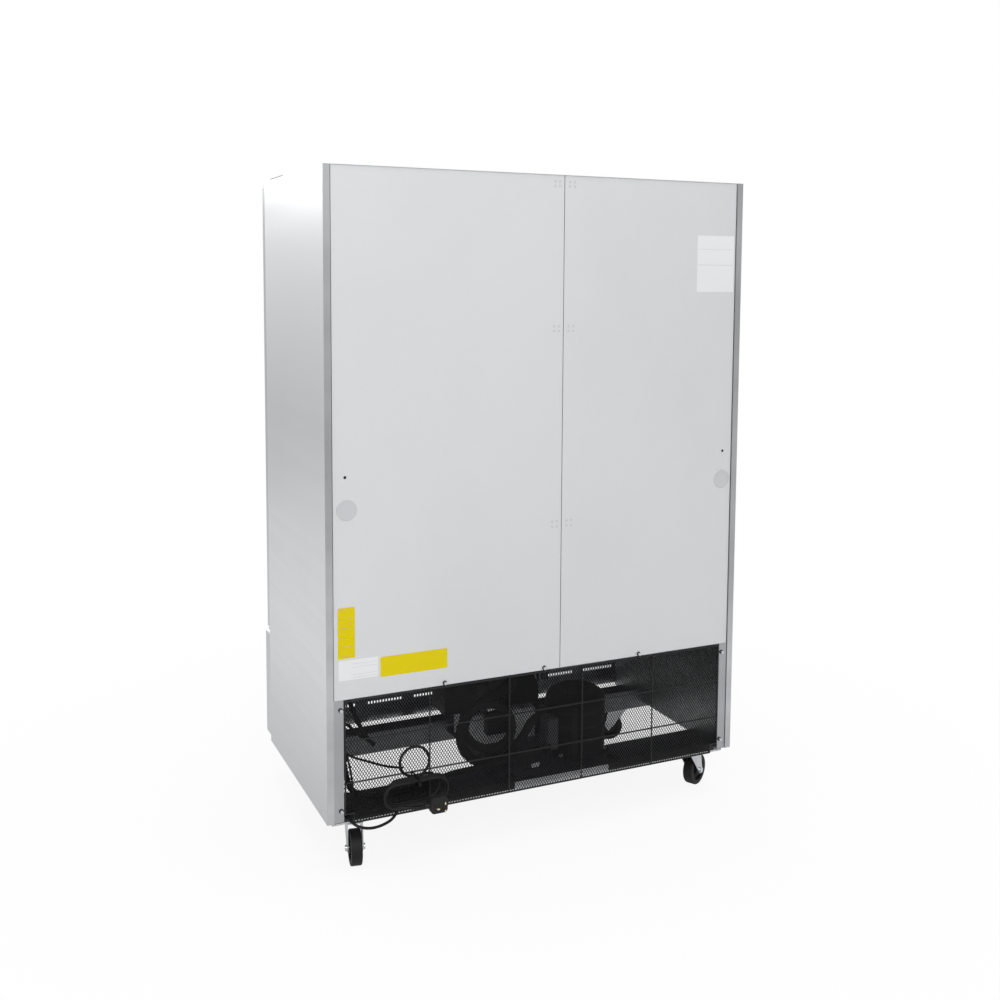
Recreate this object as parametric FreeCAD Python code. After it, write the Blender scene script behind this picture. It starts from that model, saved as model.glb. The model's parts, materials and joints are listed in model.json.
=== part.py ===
import FreeCAD, Part
import math
import os

# Two-door upright freezer with its machine bay at the bottom, seen in the photograph from behind.
# Millimetres. X runs to the left as seen from behind, -Y is the front with the doors, +Z is up.
# The origin is on the floor under the middle of the object.

V = FreeCAD.Vector

# Cabinet
cabinet_width = 1340.0
body_height = 1800.0
body_depth = 650.0
kick_depth = 72.0
caster_height = 150.0
sheet = 1.2
side_flange = 20.0
back_recess = 3.0
seam_from_left = 718.0
seam_gap = 2.0
bay_height = 348.0
wall = 60.0
liner_sheet = 1.0
frame_sheet = 1.5
mullion_width = 60.0
mullion_depth = 45.0

# Screws that hold the rear guard, and how far their heads stand out behind the cabinet
screw_head = 3.0
screw_head_radius = 4.5
screw_shank_radius = 2.0
rear_overhang = 6.0

# Doors
gasket_thickness = 10.0
gasket_width = 22.0
door_thickness = 60.0
door_side_inset = 10.0
door_split = 6.0
door_bottom = 365.0
door_top_gap = 15.0
door_sheet = 1.0
door_limit_inset = 16.0

# Hinges
hinge_axis_inset = 16.0
hinge_pin_radius = 5.0
hinge_pin_length = 22.0
hinge_plate = 4.0
hinge_plate_width = 34.0
hinge_running = 0.05
hinge_door_gap = 4.0
hinge_nose = 14.0
hinge_kick_gap = 0.5
hinge_cover_length = 141.0
hinge_cover_width = 42.0
hinge_cover_height = 5.0
hinge_cover_set_back = 53.0
hinge_cover_side = 6.0

# Recessed door handle, a full-height profile at the opening edge
grip_width = 40.0
grip_depth = 26.0
grip_wall = 2.5
grip_lip = 13.0

# Door lock
lock_radius = 9.0
lock_length = 30.0
lock_running = 0.05
lock_from_grip = 26.0
lock_height = 640.0
lock_pocket = 2.0
key_slot_width = 2.0
key_slot_length = 9.0
key_slot_depth = 4.0

# Wire shelves and their supports
shelf_height_shares = (0.16, 0.40, 0.64)
shelf_wire = 5.0
shelf_rim = 7.0
shelf_pitch = 28.0
shelf_front_gap = 75.0
shelf_back_gap = 30.0
shelf_side_gap = 12.0
pilaster_width = 22.0
pilaster_thickness = 3.0
pilaster_end_gap = 40.0
pilaster_inset = 60.0
clip_reach = 16.0
clip_height = 10.0
clip_clearance = 0.3

# Evaporator under the ceiling
evap_half_width = 430.0
evap_depth = 250.0
evap_height = 190.0
evap_sheet = 1.5
evap_coil_depth = 120.0
evap_coil_gap = 24.0
evap_fin = 1.2
evap_fin_count = 28
evap_rows = 4
evap_tube_radius = 5.0
evap_fan_radius = 78.0
evap_fan_offset = 210.0
evap_fan_gap = 5.0
evap_intake_width = 90.0

# Fans
blade_count = 5
blade_thickness = 2.5
blade_tilt = 28.0
fan_hub_radius = 18.0
fan_hub_length = 20.0
motor_radius = 32.0
motor_length = 42.0
fan_motor_gap = 4.0
shaft_radius = 4.0
shaft_running = 0.05

# Machine bay
bay_post = 49.0
bay_sheet = 1.2
channel_sheet = 2.5
channel_lip = 16.0
rear_channel_back = 20.0
rear_channel_width = 125.0
front_channel_back = 455.0
front_channel_width = 150.0
front_channel_lip = 50.0
foot_rail_height = 15.0

# Refrigeration unit
unit_left = 540.0
unit_right = 950.0
unit_back = 30.0
unit_sheet = 2.5
unit_notch_left = 785.0
unit_notch_right = 868.0
unit_notch_depth = 34.0
unit_flange = 30.0
tray_width = 230.0
tray_depth = 130.0
tray_height = 96.0
tray_wall = 1.5
tray_gap = 14.0
tray_before_coil = 14.0
compressor_left = 846.0
compressor_back = 140.0
compressor_radius = 80.0
compressor_height = 178.0
compressor_foot_width = 176.0
compressor_foot_depth = 128.0
compressor_foot_sheet = 3.0
grommet_radius = 11.0
grommet_height = 12.0
bolt_head_radius = 7.0
bolt_head_height = 6.0
terminal_width = 34.0
terminal_depth = 52.0
terminal_height = 96.0
terminal_lift = 30.0
terminal_reach_share = 0.9
jacket_thickness = 13.0
jacket_gap = 0.4
jacket_lift = 8.0
jacket_edge = 34.0

# Condenser, its shroud and fan
condenser_left = 470.0
condenser_right = 800.0
condenser_back = 372.0
condenser_depth = 44.0
condenser_lift = 112.0
condenser_leg = 3.0
condenser_leg_inset = 8.0
condenser_height = 200.0
condenser_fin = 1.2
condenser_fin_count = 36
condenser_tube_radius = 5.0
condenser_rows = 5
shroud_depth = 66.0
shroud_sheet = 1.5
condenser_fan_radius = 86.0
fan_tip_gap = 6.0
motor_arm_width = 12.0
motor_arm_depth = 5.0

# Insulated pipes
hose_radius = 13.5
pipe_radius = 8.0
bend_share = 0.45
drier_radius = 12.0
drier_length = 80.0

# Kick panel
kick_bottom = 12.0
kick_top = 350.0
kick_sheet = 1.2
kick_side_inset = 4.0
louvre_width = 5.5
louvre_height = 11.0
louvre_pitch = 10.5
louvre_row_pitch = 30.0
louvre_rows = 3
louvre_first = 43.0
louvre_left = 18.0
louvre_group_pitch = 168.0
louvre_groups = 8
louvre_count = 12

# Controller in the kick panel
controller_width = 120.0
controller_height = 42.0
controller_depth = 48.0
controller_bezel = 3.0
controller_rim = 8.0
controller_height_up = 296.0
controller_from_left = 300.0
controller_cut_gap = 0.5
button_radius = 5.5
button_length = 12.0
button_stands_out = 1.6
button_travel = 1.0
button_pitch = 19.0
button_running = 0.1
button_from_middle = 2.0
button_count = 3
electrical_width = 190.0
electrical_height = 110.0
electrical_depth = 62.0
electrical_from_left = 300.0

# Rear guard
guard_left = 50.0
guard_right = 1290.0
guard_top = 345.0
guard_shoulder = 18.0
guard_bottom = -9.0
guard_lower_inset = 25.0
guard_frame_wire = 5.0
guard_wire = 3.0
guard_upright_places = (301.0, 551.0, 793.0, 1041.0)
guard_bar_heights = (111.0, 230.0)
guard_hook_top_places = (348.0, 665.0, 991.0)
guard_hook_side_heights = (33.0, 320.0)
guard_hook_radius = 5.0
guard_hook_reach = 12.0
mesh_sheet = 0.8
mesh_columns = 30
mesh_rows = 10
mesh_strand = 3.0
wire_weld = 0.4

# Casters
caster_inset_side = 100.0
caster_inset_back = 85.0
caster_front_from_back = 530.0
caster_plate = 4.0
caster_plate_length = 105.0
caster_plate_width = 86.0
caster_head_radius = 27.0
caster_head_height = 12.0
caster_head_gap = 0.3
wheel_radius = 50.0
wheel_width = 32.0
wheel_bore_radius = 6.0
wheel_hub_radius = 17.0
wheel_hub_proud = 1.6
wheel_web = 12.0
wheel_rim = 15.0
wheel_edge = 4.0
axle_running = 0.05
caster_trail = 40.0
fork_sheet = 3.0
fork_gap = 2.4
fork_half_length = 27.0
axle_nut_radius = 8.5
axle_nut_height = 5.0
brake_pivot_radius = 3.0
brake_width = 30.0
brake_sheet = 3.0
brake_length = 46.0
brake_lift = 8.0

# Directions in which the wheels trail at rest, degrees from +Y towards +X
trail_angles = {"rear_right": 10.0, "rear_left": -118.0, "front_right": -75.0, "front_left": 114.0}

# Mains lead. All of its points are chosen by hand from the photograph.
cord_radius = 4.0
gland_radius = 6.5
gland_flange_radius = 9.0
gland_flange = 3.0
gland_from_left = 61.0
gland_height = 9.5
cord_start = 2.0
coil_left = 246.0
coil_bottom = 36.0
coil_start_out = 16.0
coil_layer = 9.4
# Turns of the tied bundle: end radius, reach to the left and to the right of the tie, kind
coil_tie_radius = 36.0
coil_end_radii = (36.0, 34.0, 31.0, 33.0)
coil_left_reaches = (100.0, 84.0, 92.0, 98.0)
coil_right_reaches = (74.0, 92.0, 82.0, 88.0)
coil_ring_radius = 43.0
coil_ring_turn = 1
plug_width = 50.0
plug_height = 46.0
plug_thickness = 20.0
plug_neck = 16.0
plug_edge = 4.0
plug_neck_radius = 7.0
plug_out = 82.0
plug_pin_length = 18.0
plug_pin_width = 6.4
plug_pin_thickness = 4.0
plug_earth_width = 8.0
plug_earth_length = 22.0
plug_pin_spread = 11.0
plug_pin_rise = 11.0
tie_width = 5.0
tie_thickness = 1.2
tie_clearance = 0.5

# Least values that count as more than nothing, and as upright
tiny = 1e-6
steep = 0.5

# Places worked out from the sizes above
half = cabinet_width / 2
y_back = (body_depth + kick_depth + controller_bezel + button_stands_out - rear_overhang) / 2
y_front = y_back - body_depth
z_body = caster_height
z_mount = z_body - foot_rail_height
z_top = caster_height + body_height
z_foam = z_body + bay_height
y_panel = y_back - back_recess
y_foam = y_panel - sheet
y_door_in = y_front - gasket_thickness
y_door_out = y_door_in - door_thickness
z_door_low = z_body + door_bottom
z_door_high = z_top - door_top_gap
cavity_half = half - wall
cavity_back = y_back - wall
cavity_low = z_foam + wall
cavity_high = z_top - wall
inside_half = half - sheet


def from_left(distance):
    """X of a place measured from the left edge as seen from behind."""
    return half - distance


def from_back(distance):
    """Y of a place measured forward from the back of the side panels."""
    return y_back - distance


def above(height):
    """Z of a height measured from the underside of the body."""
    return z_body + height


def box(x0, x1, y0, y1, z0, z1):
    """A box between two corners, given in any order."""
    low = V(min(x0, x1), min(y0, y1), min(z0, z1))
    return Part.makeBox(abs(x1 - x0), abs(y1 - y0), abs(z1 - z0), low)


def rod(radius, start, end):
    """A round bar from one point to another."""
    line = end - start
    return Part.makeCylinder(radius, line.Length, start, line)


def joined(shapes):
    """One solid from shapes that share volume or faces."""
    whole = shapes[0].fuse(shapes[1:]) if len(shapes) > 1 else shapes[0]
    return whole.removeSplitter()


def group(shapes):
    """Separate solids kept together as one node."""
    return Part.makeCompound([solid for shape in shapes for solid in shape.Solids])


def prism(points, direction):
    """A straight prism on a closed outline of points."""
    return Part.Face(Part.makePolygon(points + [points[0]])).extrude(direction)


nodes = {}


def keep(name, shape):
    """Names a finished sub-part."""
    nodes[name] = shape


def side_panel(side):
    """One outer side sheet with its rear and bottom flanges."""
    outer = side * half
    inner = side * inside_half
    flange = side * (half - side_flange)
    skin = box(inner, outer, y_front, y_back, z_body, z_top)
    rear = box(inner, flange, y_back - sheet, y_back, z_body, z_top)
    foot = box(inner, flange, y_front, y_back - sheet, z_body, z_body + sheet)
    return joined([skin, rear, foot])


def cabinet_shell():
    """The outer sheets, the foam body, the inner liner and the front frame."""
    keep("side_panel_right", side_panel(1))
    keep("side_panel_left", side_panel(-1))
    keep("top_panel", box(-inside_half, inside_half, y_front, y_back - sheet, z_top - sheet, z_top))
    seam = from_left(seam_from_left)
    z_high = z_top - sheet
    keep("back_panel_wide", box(inside_half, seam + seam_gap / 2, y_foam, y_panel, z_foam, z_high))
    keep("back_panel_narrow", box(-inside_half, seam - seam_gap / 2, y_foam, y_panel, z_foam, z_high))
    body = box(-inside_half, inside_half, y_front + frame_sheet, y_foam, z_foam, z_high)
    room = box(-cavity_half, cavity_half, y_front, cavity_back, cavity_low, cavity_high)
    keep("foam_insulation", body.cut(room))
    skin = box(-cavity_half, cavity_half, y_front + frame_sheet, cavity_back, cavity_low, cavity_high)
    inside = box(
        liner_sheet - cavity_half, cavity_half - liner_sheet, y_front, cavity_back - liner_sheet,
        cavity_low + liner_sheet, cavity_high - liner_sheet)
    keep("inner_liner", skin.cut(inside))
    plate = box(-inside_half, inside_half, y_front, y_front + frame_sheet, z_foam, z_high)
    for side in (-1, 1):
        opening = box(
            side * mullion_width / 2, side * (cavity_half - liner_sheet), y_front, y_front + frame_sheet,
            cavity_low + liner_sheet, cavity_high - liner_sheet)
        plate = plate.cut(opening)
    post = box(
        -mullion_width / 2, mullion_width / 2, y_front + frame_sheet, y_front + mullion_depth,
        cavity_low + liner_sheet, cavity_high - liner_sheet)
    keep("front_frame", group([plate, post]))


def shelf_grid(x0, x1, y0, y1, z):
    """One wire shelf: a rim of square bar, with round cross wires welded on it."""
    rim = shelf_rim / 2
    wire = shelf_wire / 2
    outer = box(x0, x1, y0, y1, z - rim, z + rim)
    parts = [outer.cut(box(x0 + shelf_rim, x1 - shelf_rim, y0 + shelf_rim, y1 - shelf_rim, z - rim, z + rim))]
    count = int((x1 - x0 - 2 * shelf_rim) / shelf_pitch)
    step = (x1 - x0 - shelf_rim) / (count + 1)
    for i in range(1, count + 1):
        x = x0 + rim + i * step
        parts.append(rod(wire, V(x, y0 + rim, z + rim), V(x, y1 - rim, z + rim)))
    middle = (y0 + y1) / 2
    parts.append(box(x0 + rim, x1 - rim, middle - rim, middle + rim, z - rim, z + rim))
    return joined(parts)


def shelf_area():
    """X limits of the right compartment and the Y limits that all shelves share."""
    x0 = mullion_width / 2 + shelf_side_gap - pilaster_width / 2
    x1 = cavity_half - liner_sheet - pilaster_thickness - shelf_side_gap
    y0 = y_front + shelf_front_gap
    y1 = cavity_back - liner_sheet - shelf_back_gap
    return x0, x1, y0, y1


def shelves_and_supports():
    """Six wire shelves on clips that hook into upright pilasters."""
    x0, x1, y0, y1 = shelf_area()
    grids = []
    supports = []
    low = cavity_low + liner_sheet + pilaster_end_gap
    high = cavity_high - liner_sheet - evap_height - pilaster_end_gap
    wall_face = cavity_half - liner_sheet
    rear_face = cavity_back - liner_sheet
    post_face = y_front + mullion_depth
    places = [y0 + pilaster_inset, y1 - pilaster_inset]
    heights = [cavity_low + share * (cavity_high - cavity_low) for share in shelf_height_shares]
    for side in (-1, 1):
        for y in places:
            supports.append(box(
                side * (wall_face - pilaster_thickness), side * wall_face,
                y - pilaster_width / 2, y + pilaster_width / 2, low, high))
    for face, depth in ((rear_face, -pilaster_thickness), (post_face, pilaster_thickness)):
        supports.append(box(-pilaster_width, pilaster_width, face, face + depth, low, high))
    for z in heights:
        under = z - shelf_rim / 2 - clip_clearance
        grid = shelf_grid(x0, x1, y0, y1, z)
        grids.append(grid)
        grids.append(grid.mirror(V(0, 0, 0), V(1, 0, 0)))
        for side in (-1, 1):
            for y in places:
                supports.append(box(
                    side * (wall_face - pilaster_thickness - shelf_side_gap - clip_reach),
                    side * (wall_face - pilaster_thickness),
                    y - clip_height, y + clip_height, under - clip_height, under))
            for face, depth in ((rear_face - pilaster_thickness, -1), (post_face + pilaster_thickness, 1)):
                reach = shelf_back_gap if depth < 0 else shelf_front_gap - mullion_depth
                supports.append(box(
                    side * pilaster_width / 4, side * (pilaster_width + clip_reach),
                    face, face + depth * (reach + clip_height), under - clip_height, under))
    keep("wire_shelves", group(grids))
    keep("shelf_supports", group(supports))


def fan(radius, tip_gap):
    """An axial fan about the Y axis, hub and blades in one piece, centred at the origin."""
    hub = Part.makeCylinder(fan_hub_radius, fan_hub_length, V(0, -fan_hub_length / 2, 0), V(0, 1, 0))
    parts = [hub]
    reach = radius - tip_gap
    width = fan_hub_radius * 2
    for i in range(blade_count):
        blade = box(
            -width / 2, width / 2, -blade_thickness / 2, blade_thickness / 2, fan_hub_radius / 2, reach)
        blade.rotate(V(0, 0, 0), V(0, 0, 1), blade_tilt)
        blade.rotate(V(0, 0, 0), V(0, 1, 0), i * 360 / blade_count)
        parts.append(blade)
    ring = Part.makeCylinder(reach, radius, V(0, -radius / 2, 0), V(0, 1, 0))
    whole = joined([part.common(ring) for part in parts])
    bore = Part.makeCylinder(
        shaft_radius + shaft_running, fan_hub_length, V(0, -fan_hub_length / 2, 0), V(0, 1, 0))
    return whole.cut(bore)


def motor(direction):
    """A fan motor whose shaft points along -Y or +Y from the fan's middle at the origin."""
    start = direction * (fan_hub_length / 2 + fan_motor_gap)
    can = Part.makeCylinder(motor_radius, motor_length, V(0, start, 0), V(0, direction, 0))
    shaft = Part.makeCylinder(
        shaft_radius, start * direction + fan_hub_length / 2, V(0, -direction * fan_hub_length / 2, 0),
        V(0, direction, 0))
    return joined([can, shaft])


def finned_block(x0, x1, y0, y1, z0, z1, count, fin, rows, tube):
    """Upright fins on round tubes, as one solid."""
    parts = []
    step = (x1 - x0 - fin) / (count - 1)
    for i in range(count):
        parts.append(box(x0 + i * step, x0 + i * step + fin, y0, y1, z0, z1))
    for row in range(rows):
        z = z0 + (row + 1) * (z1 - z0) / (rows + 1)
        parts.append(rod(tube, V(x0, (y0 + y1) / 2, z), V(x1, (y0 + y1) / 2, z)))
    return joined(parts)


def evaporator():
    """The cold coil behind its cover, with two fans that blow forward."""
    high = cavity_high - liner_sheet
    low = high - evap_height
    back = cavity_back - liner_sheet
    front = back - evap_depth
    cover = box(-evap_half_width, evap_half_width, front, back, low, high)
    inside = box(
        evap_sheet - evap_half_width, evap_half_width - evap_sheet, front + evap_sheet, back,
        low + evap_sheet, high)
    cover = cover.cut(inside)
    intake = box(
        -evap_half_width + evap_coil_gap, evap_half_width - evap_coil_gap,
        back - evap_coil_gap - evap_intake_width, back - evap_coil_gap, low, low + evap_sheet)
    cover = cover.cut(intake)
    z_fan = (low + high) / 2
    y_fan = front + fan_hub_length / 2 + evap_fan_gap
    extras = []
    for side, name in ((-1, "left"), (1, "right")):
        centre = V(side * evap_fan_offset, y_fan, z_fan)
        mouth = Part.makeCylinder(
            evap_fan_radius, evap_fan_gap, V(centre.x, front, centre.z), V(0, 1, 0))
        cover = cover.cut(mouth)
        wheel = fan(evap_fan_radius, fan_tip_gap)
        wheel.translate(centre)
        keep("evaporator_fan_" + name, wheel)
        drive = motor(1)
        drive.translate(centre)
        arm_y = y_fan + fan_hub_length / 2 + fan_motor_gap + motor_length / 2
        arm = box(
            centre.x - motor_arm_width / 2, centre.x + motor_arm_width / 2, arm_y - motor_arm_depth / 2,
            arm_y + motor_arm_depth / 2, z_fan, high)
        extras.append(joined([drive, arm]))
    keep("evaporator_cover", group([cover] + extras))
    keep("evaporator_coil", finned_block(
        -evap_half_width + evap_coil_gap, evap_half_width - evap_coil_gap,
        back - evap_coil_depth, back - evap_sheet, low + evap_coil_gap, high,
        evap_fin_count, evap_fin, evap_rows, evap_tube_radius))


def machine_bay():
    """The bay's lining, the base channels and the unit's base plate with its drip tray."""
    parts = []
    for side in (-1, 1):
        inner = side * (half - bay_post)
        web = side * (half - bay_post + bay_sheet)
        parts.append(box(inner, web, y_front, y_foam, z_body + channel_sheet, z_foam))
        parts.append(box(inner, side * (half - side_flange - bay_sheet), y_foam, y_panel, z_body, z_foam))
        parts.append(box(inner, web, y_foam - bay_sheet, y_foam, z_body + channel_sheet, z_foam))
    parts.append(box(bay_post - half, half - bay_post, y_front, y_foam, z_foam - bay_sheet, z_foam))
    keep("bay_liner", joined(parts))
    channels = []
    inner = half - bay_post
    for back, width, rear_lip, front_lip in (
            (rear_channel_back, rear_channel_width, channel_lip, channel_lip),
            (front_channel_back, front_channel_width, front_channel_lip, channel_lip)):
        y1 = from_back(back)
        y0 = from_back(back + width)
        flat = box(-inner, inner, y0, y1, z_body, z_body + channel_sheet)
        end = half - side_flange
        ends = box(-end, end, y0, y1, z_body, z_body + channel_sheet)
        rail = box(-end, end, y0, y1, z_mount, z_body).cut(box(
            -end, end, y0 + channel_sheet, y1 - channel_sheet, z_mount + channel_sheet, z_body))
        rear = box(-inner, inner, y1 - channel_sheet, y1, z_body, z_body + rear_lip)
        fore = box(-inner, inner, y0, y0 + channel_sheet, z_body, z_body + front_lip)
        channels.append(joined([flat, ends, rail, rear, fore]))
    keep("base_channels", group(channels))
    z = above(channel_lip)
    y1 = from_back(unit_back)
    y0 = from_back(front_channel_back)
    plate = box(from_left(unit_left), from_left(unit_right), y0, y1, z, z + unit_sheet)
    notch = box(
        from_left(unit_notch_left), from_left(unit_notch_right), y1 - unit_notch_depth, y1, z, z + unit_sheet)
    turned = box(from_left(unit_left), from_left(unit_right), y0, y0 + unit_sheet, z, z + unit_flange)
    base = joined([plate.cut(notch), turned])
    x0 = from_left(unit_left + tray_gap)
    tray_y = from_back(condenser_back + condenser_depth + tray_before_coil)
    tray = box(x0, x0 - tray_width, tray_y, tray_y + tray_depth, z + unit_sheet, z + unit_sheet + tray_height)
    hollow = box(
        x0 - tray_wall, x0 - tray_width + tray_wall, tray_y + tray_wall, tray_y + tray_depth - tray_wall,
        z + unit_sheet + tray_wall, z + unit_sheet + tray_height)
    keep("unit_base_plate", group([base, tray.cut(hollow)]))


def compressor_centre():
    """The compressor's axis where it meets the top of the base plate."""
    return V(from_left(compressor_left), from_back(compressor_back), above(channel_lip) + unit_sheet)


def bolt_places():
    """The four bolts that hold the compressor's feet."""
    centre = compressor_centre()
    inset = grommet_radius
    return [
        centre + V(sx * (compressor_foot_width / 2 - inset), sy * (compressor_foot_depth / 2 - inset), 0)
        for sx in (-1, 1) for sy in (-1, 1)]


def compressor_and_jacket():
    """The hermetic compressor on rubber grommets, with its jacket and terminal box."""
    centre = compressor_centre()
    foot_z = centre.z + grommet_height
    foot = box(
        centre.x - compressor_foot_width / 2, centre.x + compressor_foot_width / 2,
        centre.y - compressor_foot_depth / 2, centre.y + compressor_foot_depth / 2,
        foot_z, foot_z + compressor_foot_sheet)
    can = Part.makeCylinder(
        compressor_radius, compressor_height, V(centre.x, centre.y, foot_z + compressor_foot_sheet))
    can = can.makeFillet(compressor_radius / 2, [can.Edges[0]])
    grommets = [Part.makeCylinder(grommet_radius, grommet_height, place) for place in bolt_places()]
    side = centre.x + compressor_radius + jacket_gap + jacket_thickness
    y = centre.y + terminal_depth / 4
    low = foot_z + compressor_foot_sheet + terminal_lift
    terminal = box(side + terminal_width, side, y, y + terminal_depth, low, low + terminal_height)
    neck = box(
        side, centre.x + compressor_radius * terminal_reach_share,
        y + terminal_depth / 3, y + terminal_depth / 2,
        low + terminal_height / 3, low + terminal_height / 2)
    keep("compressor", group([joined([foot, can]), joined([terminal, neck]).cut(can)] + grommets))
    outer = compressor_radius + jacket_gap + jacket_thickness
    base_z = foot_z + compressor_foot_sheet + jacket_lift
    top = foot_z + compressor_foot_sheet + compressor_height + jacket_gap + jacket_thickness
    bulk = Part.makeCylinder(outer, top - base_z, V(centre.x, centre.y, base_z))
    bulk = bulk.makeFillet(jacket_edge, [bulk.Edges[0]])
    room = Part.makeCylinder(
        compressor_radius + jacket_gap, top - jacket_thickness - base_z, V(centre.x, centre.y, base_z))
    room = room.makeFillet(jacket_edge - jacket_thickness, [room.Edges[0]])
    slot = box(
        centre.x, side + terminal_width,
        y + terminal_depth / 3 - jacket_gap, y + terminal_depth / 2 + jacket_gap,
        base_z, low + terminal_height / 2 + jacket_gap)
    keep("compressor_jacket", bulk.cut(room).cut(slot))


def condenser():
    """The condenser coil, its shroud with the fan motor on an arm, and the fan."""
    x1 = from_left(condenser_left)
    x0 = from_left(condenser_right)
    y1 = from_back(condenser_back)
    y0 = y1 - condenser_depth
    z_base = above(channel_lip) + unit_sheet
    z0 = z_base + condenser_lift
    z1 = z0 + condenser_height
    # The end of the block on the left, as seen from behind, overhangs the base plate
    keep("condenser_coil", finned_block(
        x0, x1, y0, y1, z0, z1, condenser_fin_count, condenser_fin, condenser_rows, condenser_tube_radius))
    shroud = box(x0, x1, y1, y1 + shroud_depth, z0, z1)
    shroud = shroud.cut(box(x0 + shroud_sheet, x1 - shroud_sheet, y1, y1 + shroud_depth - shroud_sheet,
                            z0 + shroud_sheet, z1 - shroud_sheet))
    centre = V((x0 + x1) / 2, y1 + shroud_depth - fan_hub_length / 2, (z0 + z1) / 2)
    mouth = Part.makeCylinder(
        condenser_fan_radius, shroud_depth, V(centre.x, y1 + shroud_sheet, centre.z), V(0, 1, 0))
    shroud = shroud.cut(mouth)
    wheel = fan(condenser_fan_radius, fan_tip_gap)
    wheel.translate(centre)
    keep("condenser_fan", wheel)
    drive = motor(1)
    drive.translate(centre)
    arm_y = centre.y + fan_hub_length / 2 + fan_motor_gap + motor_length / 2
    arm = box(
        centre.x - motor_arm_width / 2, centre.x + motor_arm_width / 2, arm_y - motor_arm_depth / 2,
        arm_y + motor_arm_depth / 2, z0, z1)
    foot = box(
        centre.x - motor_arm_width / 2, centre.x + motor_arm_width / 2, y1 + shroud_depth, arm_y,
        z0, z0 + motor_arm_depth)
    head = box(
        centre.x - motor_arm_width / 2, centre.x + motor_arm_width / 2, y1 + shroud_depth, arm_y,
        z1 - motor_arm_depth, z1)
    legs = [
        box(x, x + condenser_leg, y1, y1 + shroud_depth, z_base, z0)
        for x in (x0, from_left(unit_left + condenser_leg_inset) - condenser_leg)]
    keep("condenser_shroud", group([joined([shroud, drive, arm, foot, head] + legs)]))


def rounded_path(points, radius_share):
    """A wire of straight runs and tangent arcs through hand-picked points, and its arc radii."""
    edges = []
    radii = []
    at = points[0]
    for before, corner, after in zip(points, points[1:], points[2:]):
        towards = (corner - before).normalize()
        away = (after - corner).normalize()
        turn = towards.getAngle(away)
        run = min((corner - before).Length, (after - corner).Length)
        back = radius_share * run
        radius = back / math.tan(turn / 2)
        start = corner - towards * back
        end = corner + away * back
        bisector = (away - towards).normalize()
        to_centre = radius / math.cos(turn / 2)
        middle = corner + bisector * (to_centre - radius)
        if (start - at).Length > tiny:
            edges.append(Part.LineSegment(at, start).toShape())
        edges.append(Part.Arc(start, middle, end).toShape())
        radii.append(radius)
        at = end
    edges.append(Part.LineSegment(at, points[-1]).toShape())
    return Part.Wire(edges), radii


def tube_along(wire, radius, start, direction):
    """A solid round tube swept along a wire."""
    ring = Part.Wire([Part.Circle(start, direction, radius).toShape()])
    return wire.makePipeShell([ring], True, False)


# Routes of the insulated pipes inside the bay: from the left, out from the back, above the body
hose_route = (
    (748.5, -152.0, 150.0), (706.0, -152.0, 140.0), (656.0, -140.0, 84.0), (596.0, -122.0, 38.0),
    (536.0, -118.0, 34.0), (476.0, -114.0, 62.0), (440.0, -110.0, 116.0), (440.0, -106.0, 180.0),
    (480.0, -104.0, 226.0), (540.0, -104.0, 232.0), (590.0, -106.0, 204.0), (616.0, -110.0, 150.0),
    (606.0, -120.0, 96.0), (560.0, -150.0, 62.0), (508.0, -156.0, 84.0), (470.0, -158.0, 128.0),
    (486.0, -160.0, 186.0), (540.0, -166.0, 218.0), (604.0, -180.0, 236.0), (660.0, -200.0, 262.0),
    (690.0, -216.0, 296.0), (690.0, -216.0, 346.4))
pipe_route = (
    (622.0, -96.0, 52.0), (560.0, -92.0, 46.0), (470.0, -86.0, 46.0), (390.0, -84.0, 44.0),
    (320.0, -84.0, 24.0), (240.0, -88.0, 14.0), (150.0, -96.0, 14.0), (104.0, -124.0, 30.0),
    (92.0, -150.0, 100.0), (90.0, -160.0, 262.0), (90.0, -160.0, 346.4))
# Route of the free stretch of the mains lead, in the same three measures
lead_route = (
    (61.0, -2.0, 9.5), (61.0, 26.0, 9.5), (78.0, 44.0, 0.0), (110.0, 46.0, -9.0),
    (148.0, 38.0, -10.0), (184.0, 30.0, 0.0), (214.0, 22.0, 22.0), (246.0, 16.0, 36.0))


def placed(point):
    """A route point as a place in the object's own frame."""
    left, out, up = point
    return V(from_left(left), y_back + out, above(up))


def pipes():
    """The insulated suction hose with its loop, and the liquid line with its drier."""
    insulated = (("suction_hose", hose_route, hose_radius), ("liquid_line", pipe_route, pipe_radius))
    for name, route, radius in insulated:
        points = [placed(point) for point in route]
        wire, radii = rounded_path(points, bend_share)
        solid = tube_along(wire, radius, points[0], points[1] - points[0])
        print(name, "length", round(wire.Length), "least radius", round(min(radii), 1),
              "volume share", round(solid.Volume / (wire.Length * math.pi * radius ** 2), 4))
        extras = []
        if name == "liquid_line":
            start = points[0]
            away = (points[0] - points[1]).normalize()
            extras.append(rod(drier_radius, start, start + away * drier_length))
        keep(name, group([solid] + extras))


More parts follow.
